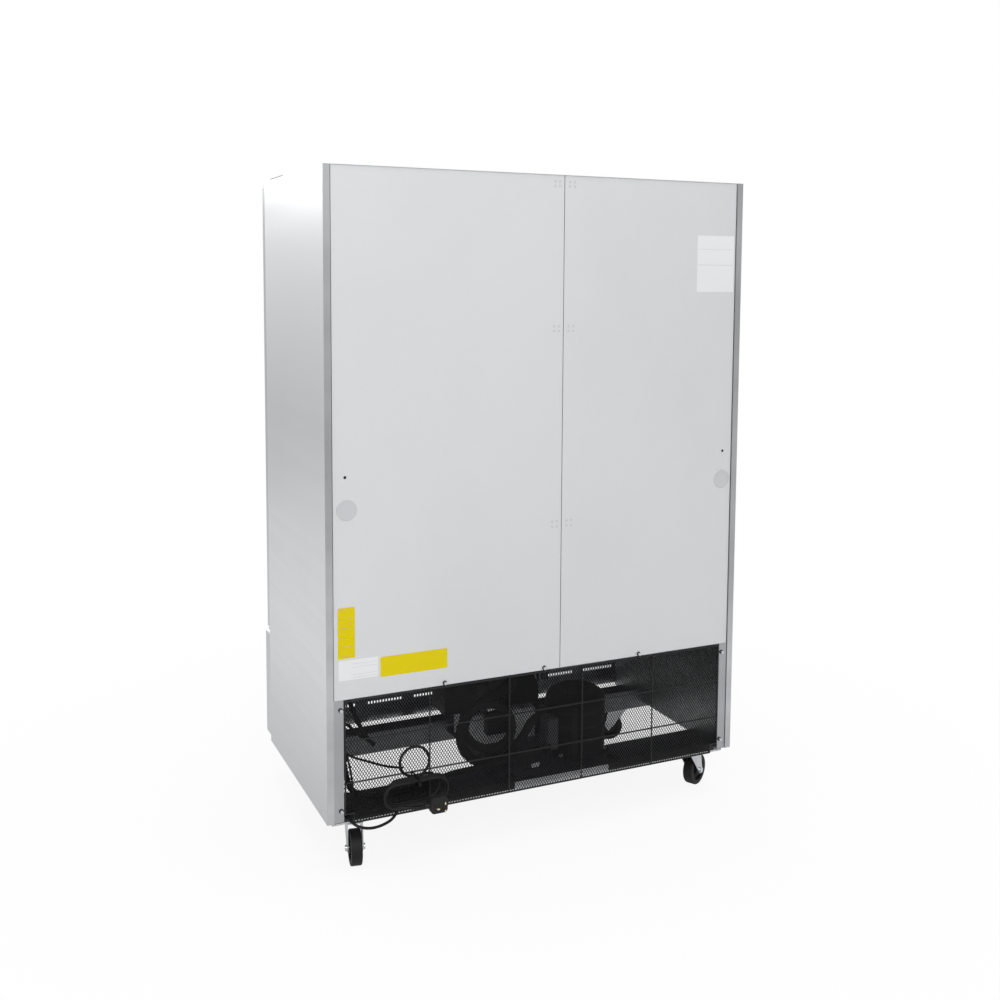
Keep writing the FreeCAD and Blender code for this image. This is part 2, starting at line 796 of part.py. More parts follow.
def kick_panel():
    """The louvred front panel of the bay, with the controller's cut-out."""
    y0 = y_front - kick_depth
    y1 = y_front
    x = half - kick_side_inset
    low = above(kick_bottom)
    high = above(kick_top)
    shell = box(-x, x, y0, y1, low, high)
    panel = shell.cut(box(
        kick_sheet - x, x - kick_sheet, y0 + kick_sheet, y1, low + kick_sheet, high - kick_sheet))
    louvres = []
    for row in range(louvre_rows):
        z = above(louvre_first + row * louvre_row_pitch)
        for place in range(louvre_groups):
            for i in range(louvre_count):
                left = from_left(louvre_left + place * louvre_group_pitch + i * louvre_pitch)
                louvres.append(box(left - louvre_width, left, y0, y0 + kick_sheet, z, z + louvre_height))
    panel = panel.cut(Part.makeCompound(louvres))
    x_mid = from_left(controller_from_left)
    z_mid = above(controller_height_up)
    gap = controller_cut_gap
    panel = panel.cut(box(
        x_mid - controller_width / 2 - gap, x_mid + controller_width / 2 + gap, y0, y0 + kick_sheet,
        z_mid - controller_height / 2 - gap, z_mid + controller_height / 2 + gap))
    keep("kick_panel", panel)


def controller():
    """The controller in the kick panel, three buttons, and the electrical box behind it."""
    y0 = y_front - kick_depth
    x_mid = from_left(controller_from_left)
    z_mid = above(controller_height_up)
    half_width = controller_width / 2
    half_height = controller_height / 2
    body = box(x_mid - half_width, x_mid + half_width, y0, y0 + controller_depth, z_mid - half_height,
               z_mid + half_height)
    rim = box(x_mid - half_width - controller_rim, x_mid + half_width + controller_rim,
              y0, y0 - controller_bezel,
              z_mid - half_height - controller_rim, z_mid + half_height + controller_rim)
    case = joined([body, rim])
    well = button_length + button_travel - button_stands_out
    for i in range(button_count):
        x = x_mid - button_from_middle - i * button_pitch
        face = y0 - controller_bezel
        hole = Part.makeCylinder(button_radius + button_running, well, V(x, face, z_mid), V(0, 1, 0))
        case = case.cut(hole)
        keep("controller_button_" + str(i + 1), Part.makeCylinder(
            button_radius, button_length, V(x, face - button_stands_out, z_mid), V(0, 1, 0)))
    x_box = from_left(electrical_from_left)
    high = z_foam - bay_sheet
    y_box = y_front + tray_gap
    cabinet_box = box(
        x_box - electrical_width / 2, x_box + electrical_width / 2, y_box, y_box + electrical_depth,
        high - electrical_height, high)
    keep("controller_housing", group([case, cabinet_box]))


def guard_outline(inset):
    """Corner points of the guard's frame line, shrunk by an inset, as X and Z pairs."""
    left = from_left(guard_left) - inset
    right = from_left(guard_right) + inset
    low_left = from_left(guard_left + guard_lower_inset) - inset
    low_right = from_left(guard_right - guard_lower_inset) + inset
    return [
        (left, above(guard_top) - inset), (right, above(guard_top) - inset),
        (right, above(guard_shoulder) + inset), (low_right, above(guard_shoulder) + inset),
        (low_right, above(guard_bottom) + inset), (low_left, above(guard_bottom) + inset),
        (low_left, above(guard_shoulder) + inset), (left, above(guard_shoulder) + inset)]


def ring_hook(x, z, y, dx, dz):
    """A closed wire eye beside the guard's frame, with the leg that joins it to the frame."""
    reach = guard_hook_reach
    centre = V(x + dx * reach, y, z + dz * reach)
    eye = Part.makeTorus(guard_hook_radius, guard_wire / 2, centre, V(0, 1, 0))
    run = reach - guard_hook_radius
    leg = rod(guard_wire / 2, V(x, y, z), V(x + dx * run, y, z + dz * run))
    return [eye, leg], centre


def rear_guard():
    """The wire guard of the bay, its expanded mesh, and the screws that hold it."""
    y = y_back - guard_frame_wire / 2
    wire = guard_frame_wire / 2
    y_bar = y_back + guard_wire / 2
    thin = guard_wire / 2
    corners = guard_outline(wire)
    parts = []
    for i, (x, z) in enumerate(corners):
        x_next, z_next = corners[(i + 1) % len(corners)]
        parts.append(rod(wire, V(x, y, z), V(x_next, y, z_next)))
        parts.append(Part.makeSphere(wire, V(x, y, z)))
    top = above(guard_top) - wire
    foot = above(guard_bottom) + wire
    for place in guard_upright_places:
        x = from_left(place)
        parts.append(rod(thin, V(x, y_bar - wire_weld, foot), V(x, y_bar - wire_weld, top)))
    for height in guard_bar_heights:
        parts.append(rod(
            thin, V(from_left(guard_left) - wire, y_bar - wire_weld, above(height)),
            V(from_left(guard_right) + wire, y_bar - wire_weld, above(height))))
    places = [(from_left(place), top, 0, 1) for place in guard_hook_top_places]
    for height in guard_hook_side_heights:
        places.append((from_left(guard_left) - wire, above(height), 1, 0))
        places.append((from_left(guard_right) + wire, above(height), -1, 0))
    eyes = []
    for x, z, dx, dz in places:
        pieces, centre = ring_hook(x, z, y_back - thin, dx, dz)
        parts += pieces
        eyes.append(centre)
    keep("guard_frame", joined(parts))
    screws = []
    for centre in eyes:
        x = centre.x
        z = centre.z
        shank = rod(screw_shank_radius, V(x, y_panel, z), V(x, y_back + screw_head, z))
        head = rod(screw_head_radius, V(x, y_back + thin, z), V(x, y_back + rear_overhang, z))
        screws.append(joined([shank, head]))
    foot_top = compressor_centre().z + grommet_height + compressor_foot_sheet
    for place in bolt_places():
        screws.append(Part.makeCylinder(bolt_head_radius, bolt_head_height, V(place.x, place.y, foot_top)))
    keep("screws_and_bolts", group(screws))
    y_mesh = y_back - guard_frame_wire
    face = [V(x, y_mesh - mesh_sheet, z) for x, z in guard_outline(0)]
    plate = prism(face, V(0, mesh_sheet, 0))
    x0 = from_left(guard_right)
    z0 = above(guard_shoulder)
    column = (guard_right - guard_left) / mesh_columns
    row = (guard_top - guard_shoulder) / mesh_rows
    holes = []
    for i in range(mesh_columns):
        for j in range(mesh_rows):
            shift = column / 2 if j % 2 else 0
            x = x0 + i * column + column / 2 + shift
            z = z0 + (j + 0.5) * row
            if x + column / 2 > from_left(guard_left) - mesh_strand:
                continue
            wide = column / 2 - mesh_strand
            tall = row / 2 + mesh_strand
            points = [V(x - wide, y_mesh - mesh_sheet, z), V(x, y_mesh - mesh_sheet, z - tall / 2),
                      V(x + wide, y_mesh - mesh_sheet, z), V(x, y_mesh - mesh_sheet, z + tall / 2)]
            holes.append(prism(points, V(0, mesh_sheet, 0)))
    keep("guard_mesh", plate.cut(Part.makeCompound(holes)))


def caster(name, x, y, angle, braked):
    """One swivel caster: fork with axle and head, wheel, and the brake pedal of a front one."""
    z_axle = wheel_radius
    top = z_mount - caster_plate - caster_head_gap
    crown = z_mount - caster_plate - caster_head_height - fork_sheet
    inner = wheel_width / 2 + wheel_hub_proud + fork_gap
    outer = inner + fork_sheet
    head = Part.makeCylinder(caster_head_radius, top - crown, V(0, 0, crown))
    bridge = box(-outer, outer, -caster_head_radius, caster_trail, crown, crown + fork_sheet)
    parts = [head, bridge]
    for side in (-1, 1):
        points = [
            V(side * inner, -caster_head_radius, crown + fork_sheet),
            V(side * inner, caster_trail, crown + fork_sheet),
            V(side * inner, caster_trail + fork_half_length / 2, z_axle),
            V(side * inner, caster_trail, z_axle - fork_half_length / 2),
            V(side * inner, caster_trail - fork_half_length / 2, z_axle)]
        parts.append(prism(points, V(side * fork_sheet, 0, 0)))
        parts.append(rod(axle_nut_radius, V(side * outer, caster_trail, z_axle),
                         V(side * (outer + axle_nut_height), caster_trail, z_axle)))
    axle_radius = wheel_bore_radius - axle_running
    axle = rod(axle_radius, V(-outer, caster_trail, z_axle), V(outer, caster_trail, z_axle))
    fork = joined(parts + [axle])
    tread = wheel_width / 2
    rim = rod(wheel_radius, V(-tread, caster_trail, z_axle), V(tread, caster_trail, z_axle))
    circles = [edge for edge in rim.Edges if edge.Curve.TypeId == "Part::GeomCircle"]
    rim = rim.makeFillet(wheel_edge, circles)
    for side in (-1, 1):
        dish = rod(wheel_radius - wheel_rim, V(side * wheel_web / 2, caster_trail, z_axle),
                   V(side * wheel_width / 2, caster_trail, z_axle))
        rim = rim.cut(dish)
    reach = wheel_width / 2 + wheel_hub_proud
    hub = rod(wheel_hub_radius, V(-reach, caster_trail, z_axle), V(reach, caster_trail, z_axle))
    bore = rod(wheel_bore_radius, V(-reach, caster_trail, z_axle), V(reach, caster_trail, z_axle))
    wheel = joined([rim, hub]).cut(bore)
    pieces = {"caster_fork_" + name: fork, "caster_wheel_" + name: wheel}
    if braked:
        # The pedal hinges on a pin across the fork, above the wheel's trailing side
        y_pin = caster_trail + fork_half_length
        z_pin = crown - brake_pivot_radius
        for side in (-1, 1):
            ear = box(side * inner, side * outer, caster_trail - fork_half_length, y_pin + brake_pivot_radius,
                      z_pin - brake_pivot_radius * 2, crown + fork_sheet)
            fork = fork.fuse(ear)
        pin = rod(brake_pivot_radius - axle_running, V(-inner, y_pin, z_pin), V(inner, y_pin, z_pin))
        pieces["caster_fork_" + name] = fork.fuse(pin).removeSplitter()
        blade = box(-brake_width / 2, brake_width / 2, y_pin, y_pin + brake_length, z_pin - brake_sheet / 2,
                    z_pin + brake_sheet / 2)
        tread = box(-brake_width / 2, brake_width / 2,
                    y_pin + brake_length - brake_sheet, y_pin + brake_length,
                    z_pin - brake_lift, z_pin + brake_sheet / 2)
        barrel = rod(
            brake_pivot_radius * 2, V(-brake_width / 2, y_pin, z_pin), V(brake_width / 2, y_pin, z_pin))
        hole = rod(brake_pivot_radius, V(-brake_width / 2, y_pin, z_pin), V(brake_width / 2, y_pin, z_pin))
        pieces["brake_pedal_" + name[6:]] = joined([blade, tread, barrel]).cut(hole)
    for piece_name, piece in pieces.items():
        piece.rotate(V(0, 0, 0), V(0, 0, 1), -angle)
        piece.translate(V(x, y, 0))
        keep(piece_name, piece)


def casters():
    """Four swivel casters under the base channels."""
    plates = []
    places = {
        "rear_right": (half - caster_inset_side, from_back(caster_inset_back)),
        "rear_left": (caster_inset_side - half, from_back(caster_inset_back)),
        "front_right": (half - caster_inset_side, from_back(caster_front_from_back)),
        "front_left": (caster_inset_side - half, from_back(caster_front_from_back))}
    for name, (x, y) in places.items():
        caster(name, x, y, trail_angles[name], name.startswith("front"))
        plates.append(box(
            x - caster_plate_width / 2, x + caster_plate_width / 2, y - caster_plate_length / 2,
            y + caster_plate_length / 2, z_mount - caster_plate, z_mount))
    keep("caster_plates", group(plates))


def door(side, name):
    """One door: outer skin, foam core with its inner pan, gasket, recessed handle and lock."""
    outer = side * (half - door_side_inset)
    edge = side * door_split / 2
    axis_x = side * (half - hinge_axis_inset - door_side_inset)
    axis_y = (y_door_in + y_door_out) / 2
    low = z_door_low
    high = z_door_high
    block = box(edge, outer, y_door_out, y_door_in, low, high)
    rebate = box(edge, edge + side * grip_width, y_door_out, y_door_out + grip_depth, low, high)
    block = block.cut(rebate)
    inside = box(edge + side * door_sheet, outer - side * door_sheet, y_door_out + door_sheet, y_door_in,
                 low + door_sheet, high - door_sheet)
    step = box(edge, edge + side * (grip_width + door_sheet),
               y_door_out, y_door_out + grip_depth + door_sheet, low, high)
    skin = block.cut(inside.cut(step))
    core = inside.cut(step)
    pin_hole = hinge_pin_radius + hinge_running
    for z_from, z_to in ((low, low + hinge_pin_length), (high - hinge_pin_length, high)):
        hole = Part.makeCylinder(pin_hole, z_to - z_from, V(axis_x, axis_y, z_from))
        skin = skin.cut(hole)
        core = core.cut(hole)
    x_lock = edge + side * (grip_width + lock_from_grip)
    z_lock = above(lock_height)
    lock = rod(
        lock_radius, V(x_lock, y_door_out - door_sheet, z_lock), V(x_lock, y_door_out + lock_length, z_lock))
    lock_hole = rod(lock_radius + lock_running, V(x_lock, y_door_out, z_lock),
                    V(x_lock, y_door_out + door_sheet, z_lock))
    pocket = rod(lock_radius + lock_pocket, V(x_lock, y_door_out + door_sheet, z_lock),
                 V(x_lock, y_door_out + lock_length + lock_pocket, z_lock))
    key = box(x_lock - key_slot_width / 2, x_lock + key_slot_width / 2,
              y_door_out - door_sheet, y_door_out - door_sheet + key_slot_depth,
              z_lock - key_slot_length / 2, z_lock + key_slot_length / 2)
    keep("door_skin_" + name, skin.cut(lock_hole))
    keep("door_core_" + name, core.cut(pocket))
    keep("door_lock_" + name, lock.cut(key))
    back = box(edge, edge + side * grip_width,
               y_door_out + grip_depth - grip_wall, y_door_out + grip_depth, low, high)
    web = box(edge, edge + side * grip_wall, y_door_out, y_door_out + grip_depth, low, high)
    lip = box(edge, edge + side * grip_lip, y_door_out, y_door_out + grip_wall, low, high)
    stops = [box(edge, edge + side * grip_width, y_door_out, y_door_out + grip_depth, z, z + grip_wall)
             for z in (low, high - grip_wall)]
    keep("door_handle_" + name, joined([back, web, lip] + stops))
    gasket_low = low + door_limit_inset
    gasket_high = high - door_limit_inset
    g_in = edge + side * door_limit_inset / 2
    g_out = axis_x
    frame = box(g_in, g_out, y_front, y_door_in, gasket_low, gasket_high)
    hollow = box(g_in + side * gasket_width, g_out - side * gasket_width, y_front, y_door_in,
                 gasket_low + gasket_width, gasket_high - gasket_width)
    keep("door_gasket_" + name, frame.cut(hollow))


def hinges():
    """Top and bottom hinge brackets with their pins, and the covers on top of the cabinet."""
    brackets = []
    covers = []
    axis_y = (y_door_in + y_door_out) / 2
    for side in (-1, 1):
        axis_x = side * (half - hinge_axis_inset - door_side_inset)
        x0 = axis_x - hinge_plate_width / 2
        x1 = axis_x + hinge_plate_width / 2
        nose = axis_y - hinge_nose
        for up, z_door in ((-1, z_door_low), (1, z_door_high)):
            z0 = z_door + up * hinge_door_gap
            z1 = z0 + up * hinge_plate
            plate = box(x0, x1, nose, y_front, z0, z1)
            leg_end = above(kick_top) + hinge_kick_gap if up < 0 else z_top
            leg = box(x0, x1, y_front - hinge_plate, y_front, z0, leg_end)
            pin = Part.makeCylinder(
                hinge_pin_radius, hinge_pin_length + hinge_door_gap - hinge_plate / 2,
                V(axis_x, axis_y, z0), V(0, 0, -up))
            brackets.append(joined([plate, leg, pin]))
        x_cover = side * (half - hinge_cover_side)
        covers.append(box(
            x_cover, x_cover - side * hinge_cover_width, y_front + hinge_cover_set_back,
            y_front + hinge_cover_set_back + hinge_cover_length, z_top, z_top + hinge_cover_height))
    keep("hinge_brackets", group(brackets))
    keep("hinge_covers", group(covers))


def biarc(start, leaving, end, arriving):
    """Two tangent arcs from one point and direction to another."""
    chord = end - start
    total = leaving + arriving
    along = chord.dot(total)
    spread = 2 * (1 - leaving.dot(arriving))
    if spread > tiny:
        reach = (-along + math.sqrt(along * along + spread * chord.dot(chord))) / spread
    else:
        reach = chord.dot(chord) / (2 * along)
    joint = (start + leaving * reach + end - arriving * reach) / 2
    edges = []
    for a, b, tangent, sense in ((start, joint, leaving, 1), (joint, end, arriving, -1)):
        line = b - a
        flat = V(line).normalize()
        angle = flat.getAngle(tangent)
        if angle < tiny:
            edges.append(Part.LineSegment(a, b).toShape())
            continue
        across = (tangent - flat * tangent.dot(flat)).normalize() * sense
        middle = (a + b) / 2 + across * (line.Length / 2 * math.tan(angle / 2))
        edges.append(Part.Arc(a, middle, b).toShape())
    return edges


def lobe(radius, reach, side):
    """Stations round one end of a loop, from its upper run to its lower run or back."""
    far = coil_left + side * (reach - radius)
    high = coil_bottom + 2 * coil_tie_radius
    low = high - 2 * radius
    upper = (far, high, -1, 0)
    lower = (far, low, 1, 0)
    tip = (far + side * radius, high - radius, 0, side)
    return [upper, tip, lower] if side < 0 else [lower, tip, upper]


def coil_loops():
    """The bundle as loops that all pass the tie: the share of a layer that each takes, and its stations."""
    high = coil_bottom + 2 * coil_tie_radius
    at_tie = (coil_left, high, -1, 0)
    first = coil_end_radii[0]
    loops = [(0.5, [(coil_left, coil_bottom, 1, 0)] + lobe(first, coil_right_reaches[0], 1) + [at_tie])]
    for turn, radius in enumerate(coil_end_radii):
        if turn == coil_ring_turn:
            ring = coil_ring_radius
            loops.append((1.0, [
                (coil_left - ring, high + ring, 0, 1), (coil_left, high + 2 * ring, 1, 0),
                (coil_left + ring, high + ring, 0, -1), at_tie]))
        if turn > 0:
            loops.append((1.0, lobe(radius, coil_left_reaches[turn], -1)
                          + lobe(radius, coil_right_reaches[turn], 1) + [at_tie]))
    last = coil_end_radii[-1]
    loops.append((0.5, lobe(last, coil_left_reaches[0], -1) + [(coil_left, high - 2 * last, 1, 0)]))
    return loops


def coil_stations():
    """Each station of the bundle: left, out, up, its flat direction, and the slope of the lead there."""
    marks = []
    outs = [coil_start_out]
    for share, stations in coil_loops():
        whole = marks[-1:] + stations
        lengths = [math.hypot(b[0] - a[0], b[1] - a[1]) for a, b in zip(whole, whole[1:])]
        for length in lengths:
            outs.append(outs[-1] + share * coil_layer * length / sum(lengths))
        marks += stations
    outs[-1] = plug_out
    rises = [
        (outs[i + 1] - outs[i]) / math.hypot(marks[i + 1][0] - marks[i][0], marks[i + 1][1] - marks[i][1])
        for i in range(len(marks) - 1)]
    slopes = [math.atan(rises[0])]
    for before, after in zip(rises[:-1], rises[1:-1]):
        slopes.append(math.atan((before + after) / 2))
    slopes += [math.atan(rises[-2]), 0.0]
    return [mark + (out, slope) for mark, out, slope in zip(marks, outs, slopes)]


def mains_lead():
    """The gland, the free stretch, the tied bundle, its tie and the three-pin plug."""
    y_lip = from_back(rear_channel_back)
    x_gland = from_left(gland_from_left)
    z_gland = above(gland_height)
    body = rod(gland_radius, V(x_gland, y_lip, z_gland), V(x_gland, y_back - cord_start, z_gland))
    flange = rod(gland_flange_radius, V(x_gland, y_lip, z_gland), V(x_gland, y_lip + gland_flange, z_gland))
    keep("cord_gland", joined([body, flange]))
    points = [placed(point) for point in lead_route]
    places = []
    tangents = []
    for left, up, along, climb, out, slope in coil_stations():
        places.append(placed((left, out, up)))
        tangents.append(V(-along * math.cos(slope), math.sin(slope), climb * math.cos(slope)))
    edges = []
    for i in range(len(places) - 1):
        edges += biarc(places[i], tangents[i], places[i + 1], tangents[i + 1])
    end = places[-1]
    tail = end + tangents[-1] * (2 * cord_radius)
    edges.append(Part.LineSegment(end, tail).toShape())
    coil_wire = Part.Wire(edges)
    coil = tube_along(coil_wire, cord_radius, places[0], tangents[0])
    keep("cord_coil", coil)
    points[-1] = places[0]
    points[-2] = places[0] - tangents[0] * (points[-1] - points[-2]).Length
    wire, radii = rounded_path(points, bend_share)
    lead = tube_along(wire, cord_radius, points[0], points[1] - points[0])
    keep("cord_lead", lead)
    print("lead length", round(wire.Length), "radii", [round(radius, 1) for radius in radii])
    print("coil length", round(coil_wire.Length), "volume share",
          round(coil.Volume / (coil_wire.Length * math.pi * cord_radius ** 2), 4))
    print("least gap of the coil to itself", round(least_gap(coil_wire), 2))
    plug(tail)
    tie(places[4])


def least_gap(wire):
    """The least clear distance between turns, measured on points a few millimetres apart."""
    points = wire.discretize(Distance=cord_radius / 2)
    step = (points[1] - points[0]).Length
    apart = int(6 * cord_radius / step)
    least = wire.Length
    for i, a in enumerate(points):
        for b in points[i + apart:]:
            least = min(least, (a - b).Length)
    return least - 2 * cord_radius


def plug(start):
    """A three-pin plug at the end of the lead, with its pins facing away from the cabinet."""
    neck_end = V(start.x - plug_neck, start.y, start.z)
    neck = rod(plug_neck_radius, V(start.x, start.y, start.z), neck_end)
    body = box(neck_end.x, neck_end.x - plug_width,
               start.y - plug_thickness / 2, start.y + plug_thickness / 2,
               start.z - plug_height / 2, start.z + plug_height / 2)
    body = body.makeFillet(plug_edge, [edge for edge in body.Edges if abs(edge.tangentAt(0).y) > steep])
    case = joined([neck, body])
    face = start.y + plug_thickness / 2
    middle = neck_end.x - plug_width / 2
    pins = []
    for dx, dz, wide, tall, length in (
            (-plug_pin_spread, plug_pin_rise, plug_pin_thickness, plug_pin_width, plug_pin_length),
            (-plug_pin_spread, -plug_pin_rise, plug_pin_thickness, plug_pin_width, plug_pin_length),
            (plug_pin_spread, 0, plug_earth_width, plug_pin_thickness, plug_earth_length)):
        pins.append(box(middle + dx - wide / 2, middle + dx + wide / 2, face, face + length,
                        start.z + dz - tall / 2, start.z + dz + tall / 2))
    keep("plug", group([case] + pins))


def tie(place):
    """The cable tie that holds the bundle's upper strands to the guard's lower bar."""
    gap = tie_clearance
    bar = above(guard_bar_heights[0])
    top = above(coil_bottom + 2 * max(coil_end_radii)) + cord_radius + gap
    low = min(bar - guard_wire / 2, above(coil_bottom + 2 * min(coil_end_radii)) - cord_radius) - gap
    top = max(top, bar + guard_wire / 2 + gap)
    near = y_back - gap
    far = y_back + coil_start_out + (len(coil_end_radii) + 1) * coil_layer + cord_radius + gap
    x0 = place.x - tie_width / 2
    x1 = place.x + tie_width / 2
    thick = tie_thickness
    loop = box(x0, x1, near - thick, far + thick, low - thick, top + thick)
    keep("cord_tie", loop.cut(box(x0, x1, near, far, low, top)))


def build():
    """Builds every sub-part and writes one STEP file for each."""
    cabinet_shell()
    shelves_and_supports()
    evaporator()
    machine_bay()
    compressor_and_jacket()
    condenser()
    pipes()
    kick_panel()
    controller()
    rear_guard()
    casters()
    door(1, "right")
    door(-1, "left")
    hinges()
    mains_lead()
    os.makedirs("parts", exist_ok=True)
    for name, shape in nodes.items():
        shape.exportStep("parts/" + name + ".step")
    print(len(nodes), "nodes")


build()
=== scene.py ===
"""Looks of a two-door upright freezer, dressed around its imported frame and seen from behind."""

import json
import logging
import math
from dataclasses import dataclass
from enum import Enum

import bmesh
import bpy
from mathutils import Matrix, Vector


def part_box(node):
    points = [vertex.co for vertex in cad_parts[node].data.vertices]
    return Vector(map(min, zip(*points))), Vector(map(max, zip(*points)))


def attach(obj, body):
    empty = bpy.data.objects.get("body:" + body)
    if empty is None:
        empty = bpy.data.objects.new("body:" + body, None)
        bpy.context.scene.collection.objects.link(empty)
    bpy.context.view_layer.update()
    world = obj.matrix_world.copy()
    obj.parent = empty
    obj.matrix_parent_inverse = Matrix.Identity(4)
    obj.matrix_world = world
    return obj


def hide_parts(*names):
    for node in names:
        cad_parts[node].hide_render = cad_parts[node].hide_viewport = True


Pair = tuple[float, float]
Triple = tuple[float, float, float]
Mark = tuple[float, float, int, int]
Socket = bpy.types.NodeSocket
Mesh = bmesh.types.BMesh
Item = bpy.types.Object
Verts = list[bmesh.types.BMVert]

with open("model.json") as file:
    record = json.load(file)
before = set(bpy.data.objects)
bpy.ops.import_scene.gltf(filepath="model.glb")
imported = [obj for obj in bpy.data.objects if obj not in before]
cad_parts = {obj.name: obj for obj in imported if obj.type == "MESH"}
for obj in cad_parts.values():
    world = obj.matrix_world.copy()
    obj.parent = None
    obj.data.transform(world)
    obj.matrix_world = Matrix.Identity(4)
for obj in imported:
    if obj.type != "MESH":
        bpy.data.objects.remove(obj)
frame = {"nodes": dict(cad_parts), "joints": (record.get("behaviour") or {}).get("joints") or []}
LOG = logging.getLogger("freezer")
NODES: dict[str, Item] = frame["nodes"]
CABINET = "cabinet"
FINISH = "_finish"
MM = 0.001
FACING = 0.9
MIRRORED = 0.5
MIX_FIRST, MIX_SECOND, MIX_RESULT = 6, 7, 2
ORIGIN = Vector((0.0, 0.0, 0.0))


@dataclass(frozen=True)
class Cabinet:
    """Sizes of the cabinet that the looks are placed by, in millimetres."""

    half: float = 670.0
    back: float = 360.3
    body: float = 150.0
    panel: float = 357.3
    door_face: float = -359.7
    top: float = 1950.0

    def spot(self, left: float, out: float, up: float) -> Vector:
        """A place measured as on the back of the cabinet.

        Args:
            left: Distance from the left edge as seen from behind.
            out: Distance behind the side panels, negative inside the bay.
            up: Height above the underside of the body.

        Returns:
            The place in the row frame, in metres.
        """
        return Vector((self.half - left, self.back + out, self.body + up)) * MM


CAB = Cabinet()
spot = CAB.spot
SHEET_OUT = CAB.panel - CAB.back
SUNK = SHEET_OUT - 0.05


class Axis(Enum):
    """Directions that a round piece or a pattern can follow."""

    X = "X"
    Y = "Y"
    Z = "Z"


class Graph:
    """A node tree of a material or a world while it is put together."""

    def __init__(self, owner: bpy.types.Material | bpy.types.World) -> None:
        """Empties the owner's node tree.

        Args:
            owner: The material or world that holds it.
        """
        owner.use_nodes = True
        self.tree = owner.node_tree
        self.tree.nodes.clear()

    def node(self, kind: str, feeds: dict[str | int, object] | None = None,
             **settings: object) -> bpy.types.Node:
        """Adds a node.

        Args:
            kind: Its type, without the usual first part.
            feeds: What each input gets: a socket or a constant.
            settings: Its own settings.

        Returns:
            The node.
        """
        made = self.tree.nodes.new(f"ShaderNode{kind}")
        for name, value in settings.items():
            setattr(made, name, value)
        for key, value in (feeds or {}).items():
            if isinstance(value, Socket):
                self.tree.links.new(value, made.inputs[key])
            else:
                made.inputs[key].default_value = value
        return made

    def maths(self, operation: str, *values: Socket | float) -> Socket:
        """The result of an operation on values."""
        return self.node("Math", dict(enumerate(values)), operation=operation).outputs[0]

    def sum(self, first: Socket, second: Socket, share: float = 1.0) -> Socket:
        """The first value plus a share of the second."""
        return self.maths("MULTIPLY_ADD", second, share, first)

    def shown(self, output: str, share: Socket, first: Socket, second: Socket) -> None:
        """Shows two shaders by a share from 0 to 1.

        Args:
            output: Kind of the output node.
            share: Share of the second shader.
            first: The first shader.
            second: The second shader.
        """
        mix = self.node("MixShader", {0: share, 1: first, 2: second})
        self.node(output, {"Surface": mix.outputs[0]})

    def seen(self) -> Socket:
        """How white the surroundings are to a ray: fully where it is seen or let through.

        Returns:
            The share, which is half for a mirrored ray.
        """
        path = self.node("LightPath").outputs
        straight = self.maths("MAXIMUM", path["Is Camera Ray"], path["Is Transmission Ray"])
        return self.maths("MAXIMUM", straight, self.maths("MULTIPLY", path["Is Glossy Ray"], MIRRORED))


